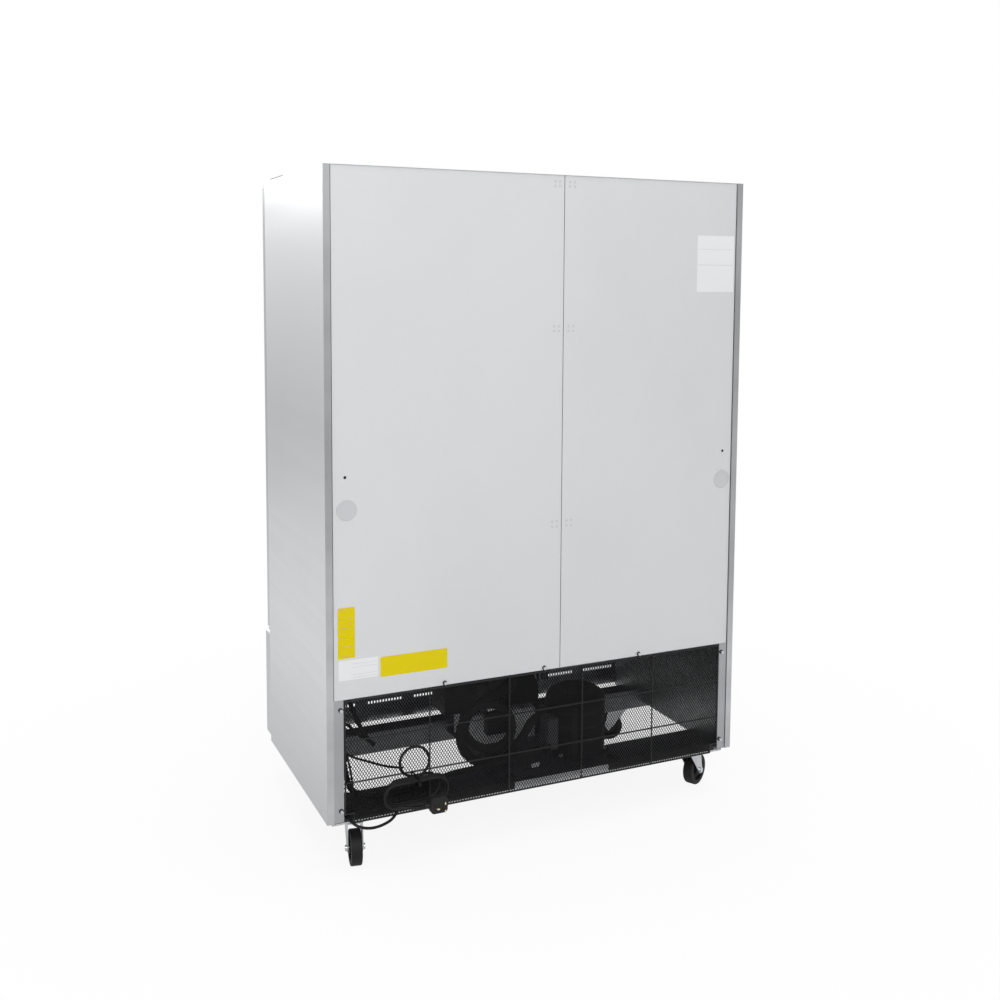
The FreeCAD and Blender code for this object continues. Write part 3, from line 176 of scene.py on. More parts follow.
class Paint(Graph):
    """The node tree of one finish, with its shader."""

    def __init__(self, name: str) -> None:
        """Starts a material with one shader.

        Args:
            name: Name of the material.
        """
        self.material = bpy.data.materials.new(name)
        super().__init__(self.material)
        self.shader = self.node("BsdfPrincipled")
        self.node("OutputMaterial", {"Surface": self.shader.outputs["BSDF"]})
        self.place = self.node("TexCoord").outputs["Object"]

    def stretched(self, scale: Triple | float, turn: float = 0.0) -> Socket:
        """Object coordinates scaled by axis.

        Args:
            scale: How many pattern units one metre holds, by axis or on all three.
            turn: Rotation about Z, in radians.

        Returns:
            The scaled coordinates.
        """
        scales = scale if isinstance(scale, tuple) else (scale,) * 3
        feeds = {"Scale": scales, "Rotation": (0.0, 0.0, turn), "Vector": self.place}
        return self.node("Mapping", feeds).outputs["Vector"]

    def noise(self, scale: Triple | float, detail: float) -> Socket:
        """Cloudy values about 0.5.

        Args:
            scale: Scale of the clouds by axis.
            detail: Number of finer layers.

        Returns:
            The value from 0 to 1.
        """
        feeds = {"Scale": 1.0, "Detail": detail, "Roughness": 0.55, "Vector": self.stretched(scale)}
        return self.node("TexNoise", feeds).outputs["Fac"]

    def cells(self, scale: float, output: str) -> Socket:
        """Values of a cell pattern on object coordinates.

        Args:
            scale: Cells in a metre.
            output: Color for one value a cell, Distance for the distance to its centre.

        Returns:
            The value.
        """
        return self.node("TexVoronoi", {"Scale": scale, "Vector": self.place}).outputs[output]

    def waves(self, axis: Axis, scale: float, turn: float = 0.0) -> Socket:
        """Bands across an axis that wander a little.

        Args:
            axis: Axis that the bands follow one after another.
            scale: Scale of the bands.
            turn: Rotation about Z, in radians.

        Returns:
            The value from 0 to 1.
        """
        feeds = {"Scale": scale, "Distortion": 1.5, "Vector": self.stretched(1.0, turn)}
        return self.node("TexWave", feeds, bands_direction=axis.value).outputs["Fac"]

    def span(self, value: Socket, low: float, high: float, start: float = 0.0, end: float = 1.0) -> Socket:
        """Stretches a value to a range.

        Args:
            value: The value to stretch.
            low: Result at the start.
            high: Result at the end.
            start: Value that gives the low result.
            end: Value that gives the high result.

        Returns:
            The stretched value.
        """
        feeds = {"Value": value, "From Min": start, "From Max": end, "To Min": low, "To Max": high}
        return self.node("MapRange", feeds).outputs["Result"]

    def blend(self, share: Socket, first: Triple | Socket, second: Triple) -> Socket:
        """A colour between two.

        Args:
            share: Share of the second colour, from 0 to 1.
            first: The first colour, or a socket that gives it.
            second: The second colour.

        Returns:
            The colour.
        """
        start = (*first, 1.0) if isinstance(first, tuple) else first
        feeds = {0: share, MIX_FIRST: start, MIX_SECOND: (*second, 1.0)}
        return self.node("Mix", feeds, data_type="RGBA").outputs[MIX_RESULT]

    def feed(self, name: str, source: Socket) -> None:
        """Links a value to an input of the shader."""
        self.tree.links.new(source, self.shader.inputs[name])

    def fixed(self, **values: float) -> None:
        """Sets constant shader sockets, named with underscores for spaces."""
        for name, value in values.items():
            self.shader.inputs[name.replace("_", " ")].default_value = value


@dataclass(frozen=True)
class Finish:
    """A plain finish: a clouded colour, clouded gloss and a fine grain."""

    name: str
    colour: Triple
    shade: Triple
    metallic: float = 0.0
    gloss: Pair = (0.4, 0.55)
    cloud: Triple | float = 6.0
    grain: Triple | float = 900.0
    depth: float = 0.00002
    level: float = 0.5

    def make(self) -> bpy.types.Material:
        """Builds the material.

        Returns:
            The material.
        """
        graph = Paint(f"{self.name}{FINISH}")
        graph.fixed(Metallic=self.metallic, Specular_IOR_Level=self.level)
        self.paint(graph)
        return graph.material

    def coat(self, graph: Paint, tone: Socket, tones: Pair, rough: Socket, roughs: Pair,
             height: Socket) -> None:
        """Wires colour, gloss and relief.

        Args:
            graph: Node tree of the material.
            tone: Pattern of the colour.
            tones: Values of it that give the colour and the shade.
            rough: Pattern of the gloss.
            roughs: Values of it that give both ends of the gloss.
            height: Pattern of the relief.
        """
        graph.feed("Base Color", graph.blend(graph.span(tone, 0.0, 1.0, *tones), self.colour, self.shade))
        graph.feed("Roughness", graph.span(rough, *self.gloss, *roughs))
        bump = graph.node("Bump", {"Distance": self.depth, "Strength": 1.0, "Height": height})
        graph.feed("Normal", bump.outputs["Normal"])

    def paint(self, graph: Paint) -> None:
        """Chooses the patterns.

        Args:
            graph: Node tree of the material.
        """
        cloud = graph.noise(self.cloud, 4.0)
        grain = graph.noise(self.grain, 2.0)
        self.coat(graph, cloud, (0.3, 0.7), graph.sum(grain, cloud), (0.6, 1.4), grain)


@dataclass(frozen=True)
class BrushedSteel(Finish):
    """Stainless sheet with a brushed grain and faint streaks along it."""

    streak: Triple = (30.0, 30.0, 0.8)

    def paint(self, graph: Paint) -> None:
        """Chooses the brushed streaks.

        Args:
            graph: Node tree of the material.
        """
        streak = graph.noise(self.streak, 5.0)
        cloud = graph.noise(self.cloud, 3.0)
        grain = graph.noise(self.grain, 3.0)
        self.coat(graph, graph.sum(cloud, streak, 0.6), (0.55, 1.05), graph.sum(grain, streak), (0.7, 1.3),
                  graph.sum(grain, streak, 0.4))


@dataclass(frozen=True)
class SidePanel(BrushedSteel):
    """Stainless side panel with a painted reflection: its colour is brightened at the top for a bright
    ceiling and dulled at the foot for a dull floor.
    """

    # Heights and tints of the painted reflection: a bright ceiling at the top, a dull floor at the foot.
    high: Pair = (1.25, 1.80)
    bright: Triple = (0.95, 0.955, 0.96)
    foot: Pair = (0.60, 0.10)
    dull: Triple = (0.48, 0.485, 0.495)

    def paint(self, graph: Paint) -> None:
        """Paints a reflection into the steel's colour: brighter at its top and duller at its foot.

        Args:
            graph: Node tree of the material.
        """
        super().paint(graph)
        height = graph.node("SeparateXYZ", {0: graph.place}).outputs["Z"]
        # Painted reflection: blends the base colour towards each tint by height.
        for (start, end), tint in ((self.high, self.bright), (self.foot, self.dull)):
            steel = graph.shader.inputs["Base Color"].links[0].from_socket
            graph.feed("Base Color", graph.blend(graph.span(height, 0.0, 1.0, start, end), steel, tint))


@dataclass(frozen=True)
class Galvanised(Finish):
    """Zinc-coated sheet with its crystal flakes."""

    flakes: float = 90.0
    flake_share: float = 0.18

    def paint(self, graph: Paint) -> None:
        """Chooses the flakes over the cloud.

        Args:
            graph: Node tree of the material.
        """
        flake = graph.cells(self.flakes, "Color")
        cloud = graph.noise(self.cloud, 5.0)
        grain = graph.noise(self.grain, 2.0)
        self.coat(graph, graph.sum(cloud, flake, self.flake_share), (0.4, 0.8), graph.sum(cloud, flake, 0.5),
                  (0.5, 1.1), graph.sum(grain, cloud, 0.3))


@dataclass(frozen=True)
class Woven(Finish):
    """Cloth with crossing threads."""

    threads: float = 260.0
    fuzz: Pair = (0.06, 0.5)

    def paint(self, graph: Paint) -> None:
        """Chooses the weave, its fuzz and its worn patches.

        Args:
            graph: Node tree of the material.
        """
        along = graph.waves(Axis.Z, self.threads)
        around = graph.waves(Axis.X, self.threads, math.radians(45.0))
        weave = graph.maths("MULTIPLY", along, around)
        cloud = graph.noise(self.cloud, 5.0)
        self.coat(graph, graph.sum(cloud, weave, 0.5), (0.4, 0.95), cloud, (0.3, 0.7),
                  graph.sum(weave, cloud, 0.5))
        graph.fixed(Sheen_Weight=self.fuzz[0], Sheen_Roughness=self.fuzz[1])


@dataclass(frozen=True)
class Cellular(Finish):
    """Foam with open or closed cells on its surface."""

    pores: float = 700.0

    def paint(self, graph: Paint) -> None:
        """Chooses the pores over the cloud.

        Args:
            graph: Node tree of the material.
        """
        pore = graph.cells(self.pores, "Distance")
        cloud = graph.noise(self.cloud, 5.0)
        self.coat(graph, graph.sum(cloud, pore, 0.5), (0.45, 0.95), pore, (0.0, 1.0), graph.sum(pore, cloud))


class Surface(Enum):
    """The finishes of this freezer."""

    # The side panels carry a painted reflection, brighter at the top and duller at the foot.
    SIDE = SidePanel("stainless_side", (0.69, 0.70, 0.71), (0.65, 0.66, 0.67), 1.0, (0.30, 0.36),
                     (1.5, 1.5, 0.8), (60.0, 60.0, 2400.0), 0.00001, streak=(1.0, 1.0, 30.0))
    TOP = BrushedSteel("stainless_top", (0.60, 0.61, 0.625), (0.50, 0.51, 0.525), 1.0, (0.30, 0.40),
                       (1.5, 1.5, 0.8), (60.0, 2400.0, 60.0), 0.00001, streak=(1.0, 40.0, 1.0))
    DOOR = BrushedSteel("stainless_door", (0.60, 0.61, 0.625), (0.49, 0.50, 0.515), 1.0, (0.28, 0.38),
                        (1.5, 1.5, 1.0), (2400.0, 2400.0, 60.0), 0.00001, streak=(40.0, 40.0, 0.8))
    LINER = BrushedSteel("liner_steel", (0.66, 0.67, 0.68), (0.55, 0.56, 0.57), 1.0, (0.26, 0.36), 2.0,
                         (2000.0, 2000.0, 80.0), 0.00001)
    BACK = Galvanised("back_sheet", (0.70, 0.705, 0.71), (0.655, 0.66, 0.668), 0.0, (0.42, 0.56),
                      (1.6, 1.6, 1.2), 500.0, flakes=140.0, flake_share=0.06)
    # Painted shade: the bay's galvanised steel is darkened for the little light that reaches inside the bay.
    BAY = Galvanised("bay_galvanised", (0.30, 0.305, 0.31), (0.20, 0.205, 0.21), 0.9, (0.34, 0.52), 3.0,
                     500.0, 0.00003)
    # Painted shade: the base channels' galvanised steel is darkened for the shade in the bay.
    CHANNEL = Galvanised("channel_galvanised_shaded", (0.19, 0.195, 0.20), (0.12, 0.125, 0.13), 0.85, (0.36, 0.55),
                         5.0, 500.0, 0.00003)
    BASE = Galvanised("unit_base_steel", (0.10, 0.10, 0.105), (0.05, 0.05, 0.055), 0.6, (0.40, 0.60), 6.0,
                      500.0, 0.00003)
    FRAME = Finish("white_trim", (0.78, 0.79, 0.79), (0.72, 0.73, 0.73), gloss=(0.35, 0.45))
    FOAM = Cellular("polyurethane_foam", (0.80, 0.68, 0.38), (0.70, 0.56, 0.27), 0.0, (0.75, 0.95), 9.0,
                    depth=0.0003, pores=420.0)
    SHELF = Finish("shelf_coating", (0.66, 0.67, 0.68), (0.58, 0.59, 0.60), gloss=(0.28, 0.38))
    FINS = Finish("fin_aluminium", (0.55, 0.56, 0.57), (0.38, 0.39, 0.40), 1.0, (0.30, 0.50), 12.0)
    BLACK_COIL = Finish("coil_black", (0.030, 0.030, 0.032), (0.055, 0.055, 0.058), 0.1, (0.40, 0.62))
    FAN = Finish("fan_plastic", (0.020, 0.020, 0.022), (0.035, 0.035, 0.037), gloss=(0.35, 0.50))
    ZINC = Finish("bright_zinc", (0.66, 0.67, 0.69), (0.50, 0.51, 0.53), 1.0, (0.20, 0.36), 25.0)
    CASTER = Galvanised("caster_zinc", (0.62, 0.63, 0.65), (0.44, 0.45, 0.47), 1.0, (0.22, 0.40), 20.0,
                        700.0, flakes=300.0)
    BLACK_PAINT = Finish("black_paint", (0.006, 0.006, 0.0065), (0.012, 0.012, 0.013), 0.0, (0.28, 0.45),
                         20.0, 800.0, 0.00005, 0.35)
    MESH = Finish("mesh_black", (0.006, 0.006, 0.0065), (0.012, 0.012, 0.013), 0.0, (0.50, 0.70), 30.0,
                  900.0, 0.00004, 0.15)
    JACKET = Woven("jacket_cloth", (0.004, 0.004, 0.005), (0.012, 0.012, 0.013), 0.0, (0.62, 0.80), 18.0,
                   depth=0.0003, level=0.2)
    THREAD = Finish("jacket_thread", (0.006, 0.006, 0.007), (0.014, 0.014, 0.015), gloss=(0.7, 0.9))
    HOSE = Cellular("pipe_insulation", (0.008, 0.008, 0.009), (0.018, 0.018, 0.019), 0.0, (0.62, 0.85), 22.0,
                    depth=0.0002, pores=900.0, level=0.25)
    CORD = Finish("cord_jacket", (0.005, 0.005, 0.0055), (0.010, 0.010, 0.011), 0.0, (0.42, 0.55), 40.0,
                  1200.0, 0.00003, 0.2)
    PLUG = Finish("plug_shell", (0.010, 0.010, 0.011), (0.018, 0.018, 0.019), 0.0, (0.42, 0.56), 50.0,
                  1500.0, 0.00005, 0.25)
    BRASS = Finish("plug_pin_brass", (0.78, 0.70, 0.52), (0.66, 0.58, 0.40), 1.0, (0.16, 0.28), 60.0)
    GASKET = Finish("gasket_rubber", (0.42, 0.43, 0.44), (0.36, 0.37, 0.38), gloss=(0.55, 0.70))
    TYRE = Finish("tyre_rubber", (0.006, 0.006, 0.006), (0.013, 0.0128, 0.0125), 0.0, (0.50, 0.70), 35.0,
                  900.0, 0.0001, 0.25)
    GRIP = Finish("grip_black", (0.016, 0.016, 0.018), (0.024, 0.024, 0.026), gloss=(0.30, 0.42))
    KEY = Finish("key_plastic", (0.22, 0.23, 0.25), (0.26, 0.27, 0.29), gloss=(0.40, 0.52))
    GLASS = Finish("display_window", (0.010, 0.010, 0.012), (0.014, 0.014, 0.016), gloss=(0.06, 0.12),
                   depth=0.000001)
    PEDAL = Finish("brake_red", (0.36, 0.020, 0.016), (0.30, 0.015, 0.012), gloss=(0.32, 0.46))
    TERMINAL = Finish("terminal_grey", (0.060, 0.062, 0.066), (0.085, 0.087, 0.091), gloss=(0.45, 0.60))
    CAP = Finish("port_cap_white", (0.60, 0.61, 0.615), (0.57, 0.58, 0.59), gloss=(0.20, 0.30),
                 depth=0.00001)
    LABEL_YELLOW = Finish("label_yellow", (0.78, 0.63, 0.006), (0.75, 0.60, 0.005), gloss=(0.42, 0.55),
                          depth=0.00001, level=0.12)
    LABEL_WHITE = Finish("label_white", (0.85, 0.855, 0.86), (0.82, 0.825, 0.83), gloss=(0.25, 0.38),
                         depth=0.00001)
    INK = Finish("label_rule", (0.30, 0.30, 0.30), (0.38, 0.38, 0.38), gloss=(0.5, 0.6))
    TAG = Finish("tag_white", (0.62, 0.63, 0.63), (0.54, 0.55, 0.55), gloss=(0.45, 0.6))
    DIMPLE = Finish("dimple_shade", (0.50, 0.505, 0.51), (0.46, 0.465, 0.47), gloss=(0.5, 0.6))
    # Painted light: the tray is near white and non-metallic, brighter than galvanised steel, to stand in for
    # light in the bay's shade.
    TRAY = Galvanised("tray_galvanised_painted_light", (0.95, 0.955, 0.96), (0.88, 0.885, 0.89), 0.0, (0.40, 0.55), 9.0,
                      600.0, flakes=160.0)
    RAIL = Galvanised("rail_zinc", (0.66, 0.67, 0.68), (0.52, 0.53, 0.54), 0.4, (0.34, 0.50), 9.0, 600.0,
                      flakes=160.0)
    # Painted reflection: the posts' folds use a darker copy of the stainless steel, for the dimmer room they
    # mirror.
    POST = BrushedSteel("stainless_post_dim_reflection", (0.42, 0.425, 0.435), (0.34, 0.345, 0.355), 1.0, (0.30, 0.40),
                        (1.0, 1.0, 2.2), (60.0, 60.0, 2400.0), 0.00001, streak=(1.0, 1.0, 9.0))
    # Painted reflection: the side panels' lips use a darker copy of the stainless steel, for the dimmer room
    # they mirror.
    LIP = BrushedSteel("stainless_lip_dim_reflection", (0.56, 0.565, 0.575), (0.36, 0.365, 0.375), 1.0, (0.30, 0.40),
                       (1.0, 1.0, 2.2), (60.0, 60.0, 2400.0), 0.00001, streak=(1.0, 1.0, 9.0))
    COVER = Finish("cover_grey", (0.20, 0.20, 0.205), (0.16, 0.16, 0.165), gloss=(0.40, 0.52))
    DARK = Finish("shadow_black", (0.010, 0.010, 0.010), (0.014, 0.014, 0.014), gloss=(0.7, 0.9))

    def material(self) -> bpy.types.Material:
        """The material of this finish, built once."""
        return bpy.data.materials.get(f"{self.value.name}{FINISH}") or self.value.make()


class Shop:
    """Turns meshes into finished pieces that ride on the frame."""

    SHARP = math.radians(32.0)
    WAYS = {Axis.X: Vector((1, 0, 0)), Axis.Y: Vector((0, 1, 0)), Axis.Z: Vector((0, 0, 1))}

    @staticmethod
    def place(name: str, data: bpy.types.ID) -> Item:
        """Adds an object to the scene.

        Args:
            name: Its name.
            data: What it shows.

        Returns:
            The object.
        """
        made = bpy.data.objects.new(name, data)
        bpy.context.scene.collection.objects.link(made)
        return made

    @staticmethod
    def block(work: Mesh, low: Vector, high: Vector) -> Verts:
        """Adds a box between two corners.

        Args:
            work: Mesh to add to.
            low: One corner.
            high: The opposite corner.

        Returns:
            The vertices of the box.
        """
        size = high - low
        place = Matrix.Translation((low + high) / 2) @ Matrix.Diagonal((*[abs(side) for side in size], 1.0))
        return bmesh.ops.create_cube(work, size=1.0, matrix=place)["verts"]

    @staticmethod
    def disc(work: Mesh, centre: Vector, axis: Axis, radii: Pair, length: float, sides: int) -> None:
        """Adds a round plug or cone about a centre.

        Args:
            work: Mesh to add to.
            centre: Middle of the plug.
            axis: Direction of its axis.
            radii: Radius at the start and at the end of the axis, in millimetres.
            length: Length along the axis, in millimetres.
            sides: Number of sides.
        """
        turn = {Axis.X: Matrix.Rotation(math.pi / 2, 4, "Y"), Axis.Y: Matrix.Rotation(-math.pi / 2, 4, "X"),
                Axis.Z: Matrix.Identity(4)}[axis]
        bmesh.ops.create_cone(
            work, cap_ends=True, segments=sides, radius1=radii[0] * MM, radius2=radii[1] * MM,
            depth=length * MM, matrix=Matrix.Translation(centre) @ turn)

    @classmethod
    def turned(cls, work: Mesh, profile: list[Pair], centre: Vector, axis: Axis, steps: int) -> None:
        """Adds a solid of revolution.

        Args:
            work: Mesh to add to.
            profile: Pairs of radius and place along the axis, in millimetres.
            centre: Point that the profile is measured from.
            axis: Axis of the turning.
            steps: Number of steps round.
        """
        along = cls.WAYS[axis]
        side = cls.WAYS[Axis.X if axis is Axis.Z else Axis.Z]
        verts = [work.verts.new(centre + side * (radius * MM) + along * (way * MM))
                 for radius, way in profile]
        edges = [work.edges.new(pair) for pair in zip(verts, verts[1:])]
        bmesh.ops.spin(work, geom=verts + edges, cent=centre, axis=along, dvec=(0, 0, 0), angle=math.tau,
                       steps=steps, use_merge=True, use_duplicate=False)
        bmesh.ops.remove_doubles(work, verts=work.verts, dist=0.02 * MM)

    @staticmethod
    def bevel(work: Mesh, edges: list[bmesh.types.BMEdge], width: float, segments: int) -> None:
        """Bevels edges by a width in millimetres."""
        bmesh.ops.bevel(work, geom=edges, offset=width * MM, offset_type="OFFSET", segments=segments,
                        profile=0.5, affect="EDGES", clamp_overlap=True, material=-1)

    @classmethod
    def rounded(cls, work: Mesh, width: float, segments: int, least: float = 30.0) -> None:
        """Bevels the edges that are sharper than an angle.

        Args:
            work: Mesh to bevel.
            width: Width of the bevel, in millimetres.
            segments: Number of steps in it.
            least: Least angle in degrees.
        """
        angle = math.radians(least)
        edges = [edge for edge in work.edges if edge.is_manifold and edge.calc_face_angle() > angle]
        cls.bevel(work, edges, width, segments)

    @classmethod
    def bevel_along(cls, work: Mesh, axis: int, least: float, width: float, segments: int) -> None:
        """Bevels the edges that reach further along an axis than a least length.

        Args:
            work: Mesh to bevel.
            axis: Number of the axis.
            least: Least length, in metres.
            width: Width of the bevel, in millimetres.
            segments: Number of steps in it.
        """
        edges = [edge for edge in work.edges
                 if abs((edge.verts[0].co - edge.verts[1].co)[axis]) > least]
        cls.bevel(work, edges, width, segments)

    @staticmethod
    def opened(work: Mesh, faces: list[bmesh.types.BMFace]) -> None:
        """Takes faces out of a mesh."""
        bmesh.ops.delete(work, geom=faces, context="FACES_ONLY")

    @staticmethod
    def turn(work: Mesh, verts: Verts, centre: Vector, degrees: float, axis: Axis) -> None:
        """Turns vertices about an axis through a centre."""
        bmesh.ops.rotate(work, verts=verts, cent=centre,
                         matrix=Matrix.Rotation(math.radians(degrees), 3, axis.value))

    @classmethod
    def piece(cls, name: str, work: Mesh, surface: Surface, body: str = CABINET,
              turned_out: bool = True) -> Item:
        """Finishes a mesh as a piece.

        Args:
            name: Name of the piece.
            work: Its mesh, which is freed.
            surface: Its finish.
            body: Body that it rides on.
            turned_out: True to recalculate its normals outwards.

        Returns:
            The new object.
        """
        if turned_out:
            bmesh.ops.recalc_face_normals(work, faces=work.faces)
        for part in work.faces:
            part.smooth = True
        for edge in work.edges:
            edge.smooth = not edge.is_manifold or edge.calc_face_angle() < cls.SHARP
        mesh = bpy.data.meshes.new(name)
        work.to_mesh(mesh)
        work.free()
        return cls.riding(name, mesh, surface, body)

    @classmethod
    def riding(cls, name: str, data: bpy.types.Mesh | bpy.types.Curve, surface: Surface, body: str) -> Item:
        """Gives a mesh or curve its finish and its body.

        Args:
            name: Name of the piece.
            data: Its mesh or curve.
            surface: Its finish.
            body: Body that it rides on.

        Returns:
            The new object.
        """
        made = cls.place(name, data)
        data.materials.append(surface.material())
        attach(made, body)
        LOG.info("%s rides on %s", name, body)
        return made

    @classmethod
    def strand(cls, name: str, points: list[Vector], radius: float, surface: Surface,
               radii: list[float] | None = None, smooth: bool = True) -> Item:
        """Makes a round cord, wire or sleeve along points.

        Args:
            name: Name of the piece.
            points: Points that it follows.
            radius: Its radius, in millimetres.
            surface: Its finish.
            radii: Share of the radius at each point.
            smooth: True for one smooth curve, False for straight runs from point to point.

        Returns:
            The new object.
        """
        curve = bpy.data.curves.new(name, "CURVE")
        curve.dimensions = "3D"
        curve.bevel_depth = radius * MM
        curve.bevel_resolution = 5
        curve.resolution_u = 8
        curve.use_fill_caps = True
        spline = curve.splines.new("NURBS" if smooth else "POLY")
        spline.points.add(len(points) - 1)
        for index, (target, point) in enumerate(zip(spline.points, points)):
            target.co = (*point, 1.0)
            target.radius = radii[index] if radii else 1.0
        if smooth:
            spline.order_u = 3
            spline.use_endpoint_u = True
        spline.use_smooth = True
        return cls.riding(name, curve, surface, CABINET)

    @staticmethod
    def line_of(strand: Item) -> list[Vector]:
        """Points along the middle of a strand.

        Args:
            strand: A curve object.

        Returns:
            Its points in order.
        """
        bare = strand.copy()
        bare.data = strand.data.copy()
        bare.data.bevel_depth = 0.0
        bare.data.use_fill_caps = False
        mesh = bpy.data.meshes.new_from_object(bare)
        points = [vertex.co.copy() for vertex in mesh.vertices]
        bpy.data.meshes.remove(mesh)
        curve = bare.data
        bpy.data.objects.remove(bare)
        bpy.data.curves.remove(curve)
        return points

    @staticmethod
    def dress(surface: Surface, *names: str) -> None:
        """Gives CAD nodes a finish.

        Args:
            surface: Their finish.
            names: Names of the nodes.
        """
        for name in names:
            slots = NODES[name].data.materials
            slots.clear()
            slots.append(surface.material())
            LOG.info("%s is %s", name, surface.name.lower())


@dataclass
class Studio:
    """The camera at the photograph's angle, the soft light and the pale floor."""

    place: Triple = (1.5191, 3.3280, 1.6431)
    azimuth: float = 24.685
    pitch: float = 5.105
    roll: float = 0.322
    focal_share: float = 1.1533
    shift: float = -0.115
    sensor: float = 36.0
    clip: Pair = (0.05, 200.0)
    sky: Triple = (0.92, 0.94, 0.97)
    sky_strength: float = 0.36
    floor_half: float = 30.0
    floor_grey: float = 0.86
    floor_fade: Pair = (0.4, 2.4)
    floor_near: float = 0.90
    lamps: tuple[tuple[str, Triple, Triple, Pair, float], ...] = (
        ("back_key", (1.6, 4.4, 3.6), (0.3, 0.3, 1.7), (3.0, 2.6), 104.0),
        ("side_fill", (4.6, 0.6, 2.2), (0.6, 0.0, 1.0), (2.6, 3.0), 34.0),
        ("front_fill", (-1.0, -4.8, 2.8), (0.0, -0.3, 1.0), (3.4, 2.8), 45.0),
        ("far_side_fill", (-4.6, 0.8, 2.2), (-0.6, 0.0, 1.0), (2.6, 3.0), 34.0),
        ("overhead", (0.0, 0.4, 5.2), (0.0, 0.0, 0.0), (4.0, 4.0), 110.0),
        ("side_glow", (2.3, -5.6, 3.2), (0.67, 0.0, 1.8), (2.4, 1.4), 36.0))

    def camera(self) -> None:
        """Makes the camera."""
        azimuth, pitch, roll = (math.radians(angle) for angle in (self.azimuth, self.pitch, self.roll))
        forward = Vector((-math.sin(azimuth) * math.cos(pitch), -math.cos(azimuth) * math.cos(pitch),
                          -math.sin(pitch)))
        right = Vector((-math.cos(azimuth), math.sin(azimuth), 0.0))
        above = right.cross(forward)
        across = right * math.cos(roll) + above * math.sin(roll)
        upward = above * math.cos(roll) - right * math.sin(roll)
        data = bpy.data.cameras.new("photo_camera")
        data.sensor_width = self.sensor
        data.lens = self.sensor * self.focal_share
        data.shift_y = self.shift
        data.clip_start, data.clip_end = self.clip
        made = Shop.place("photo_camera", data)
        turn = Matrix((across, upward, -forward)).transposed().to_4x4()
        made.matrix_world = Matrix.Translation(self.place) @ turn
        bpy.context.scene.camera = made

    def light(self) -> None:
        """Makes the soft lamps and the world."""
        for name, place, target, size, power in self.lamps:
            data = bpy.data.lights.new(name, "AREA")
            data.shape = "RECTANGLE"
            data.size, data.size_y = size
            data.energy = power
            made = Shop.place(name, data)
            made.location = place
            made.rotation_mode = "QUATERNION"
            made.rotation_quaternion = (Vector(target) - Vector(place)).to_track_quat("-Z", "Y")
        world = bpy.data.worlds.new("studio_world")
        bpy.context.scene.world = world
        graph = Graph(world)
        soft = graph.node("Background", {"Color": (*self.sky, 1.0), "Strength": self.sky_strength})
        white = graph.node("Background", {"Color": (1.0, 1.0, 1.0, 1.0), "Strength": 1.0})
        graph.shown("OutputWorld", graph.seen(), soft.outputs[0], white.outputs[0])

    def floor(self) -> None:
        """Makes the pale floor, which keeps a faint shadow."""
        work = bmesh.new()
        bmesh.ops.create_grid(work, x_segments=1, y_segments=1, size=self.floor_half)
        mesh = bpy.data.meshes.new("floor")
        work.to_mesh(mesh)
        work.free()
        made = Shop.place("floor", mesh)
        material = bpy.data.materials.new("floor_white")
        graph = Graph(material)
        matte = graph.node("BsdfDiffuse", {"Color": (*[self.floor_grey] * 3, 1.0)})
        white = graph.node("Emission", {"Color": (1.0, 1.0, 1.0, 1.0), "Strength": 1.0})
        place = graph.node("TexCoord").outputs["Object"]
        far = graph.node("VectorMath", {0: place}, operation="LENGTH").outputs["Value"]
        feeds = {"Value": far, "From Min": self.floor_fade[0], "From Max": self.floor_fade[1],
                 "To Min": self.floor_near, "To Max": 1.0}
        ramp = graph.node("MapRange", feeds, interpolation_type="SMOOTHSTEP").outputs["Result"]
        graph.shown("OutputMaterial", graph.maths("MULTIPLY", graph.seen(), ramp), matte.outputs[0],
                    white.outputs[0])
        mesh.materials.append(material)

    def build(self) -> None:
        """Builds the camera, the light and the floor."""
        self.camera()
        self.light()
        self.floor()
        bpy.context.scene.view_settings.view_transform = "Standard"


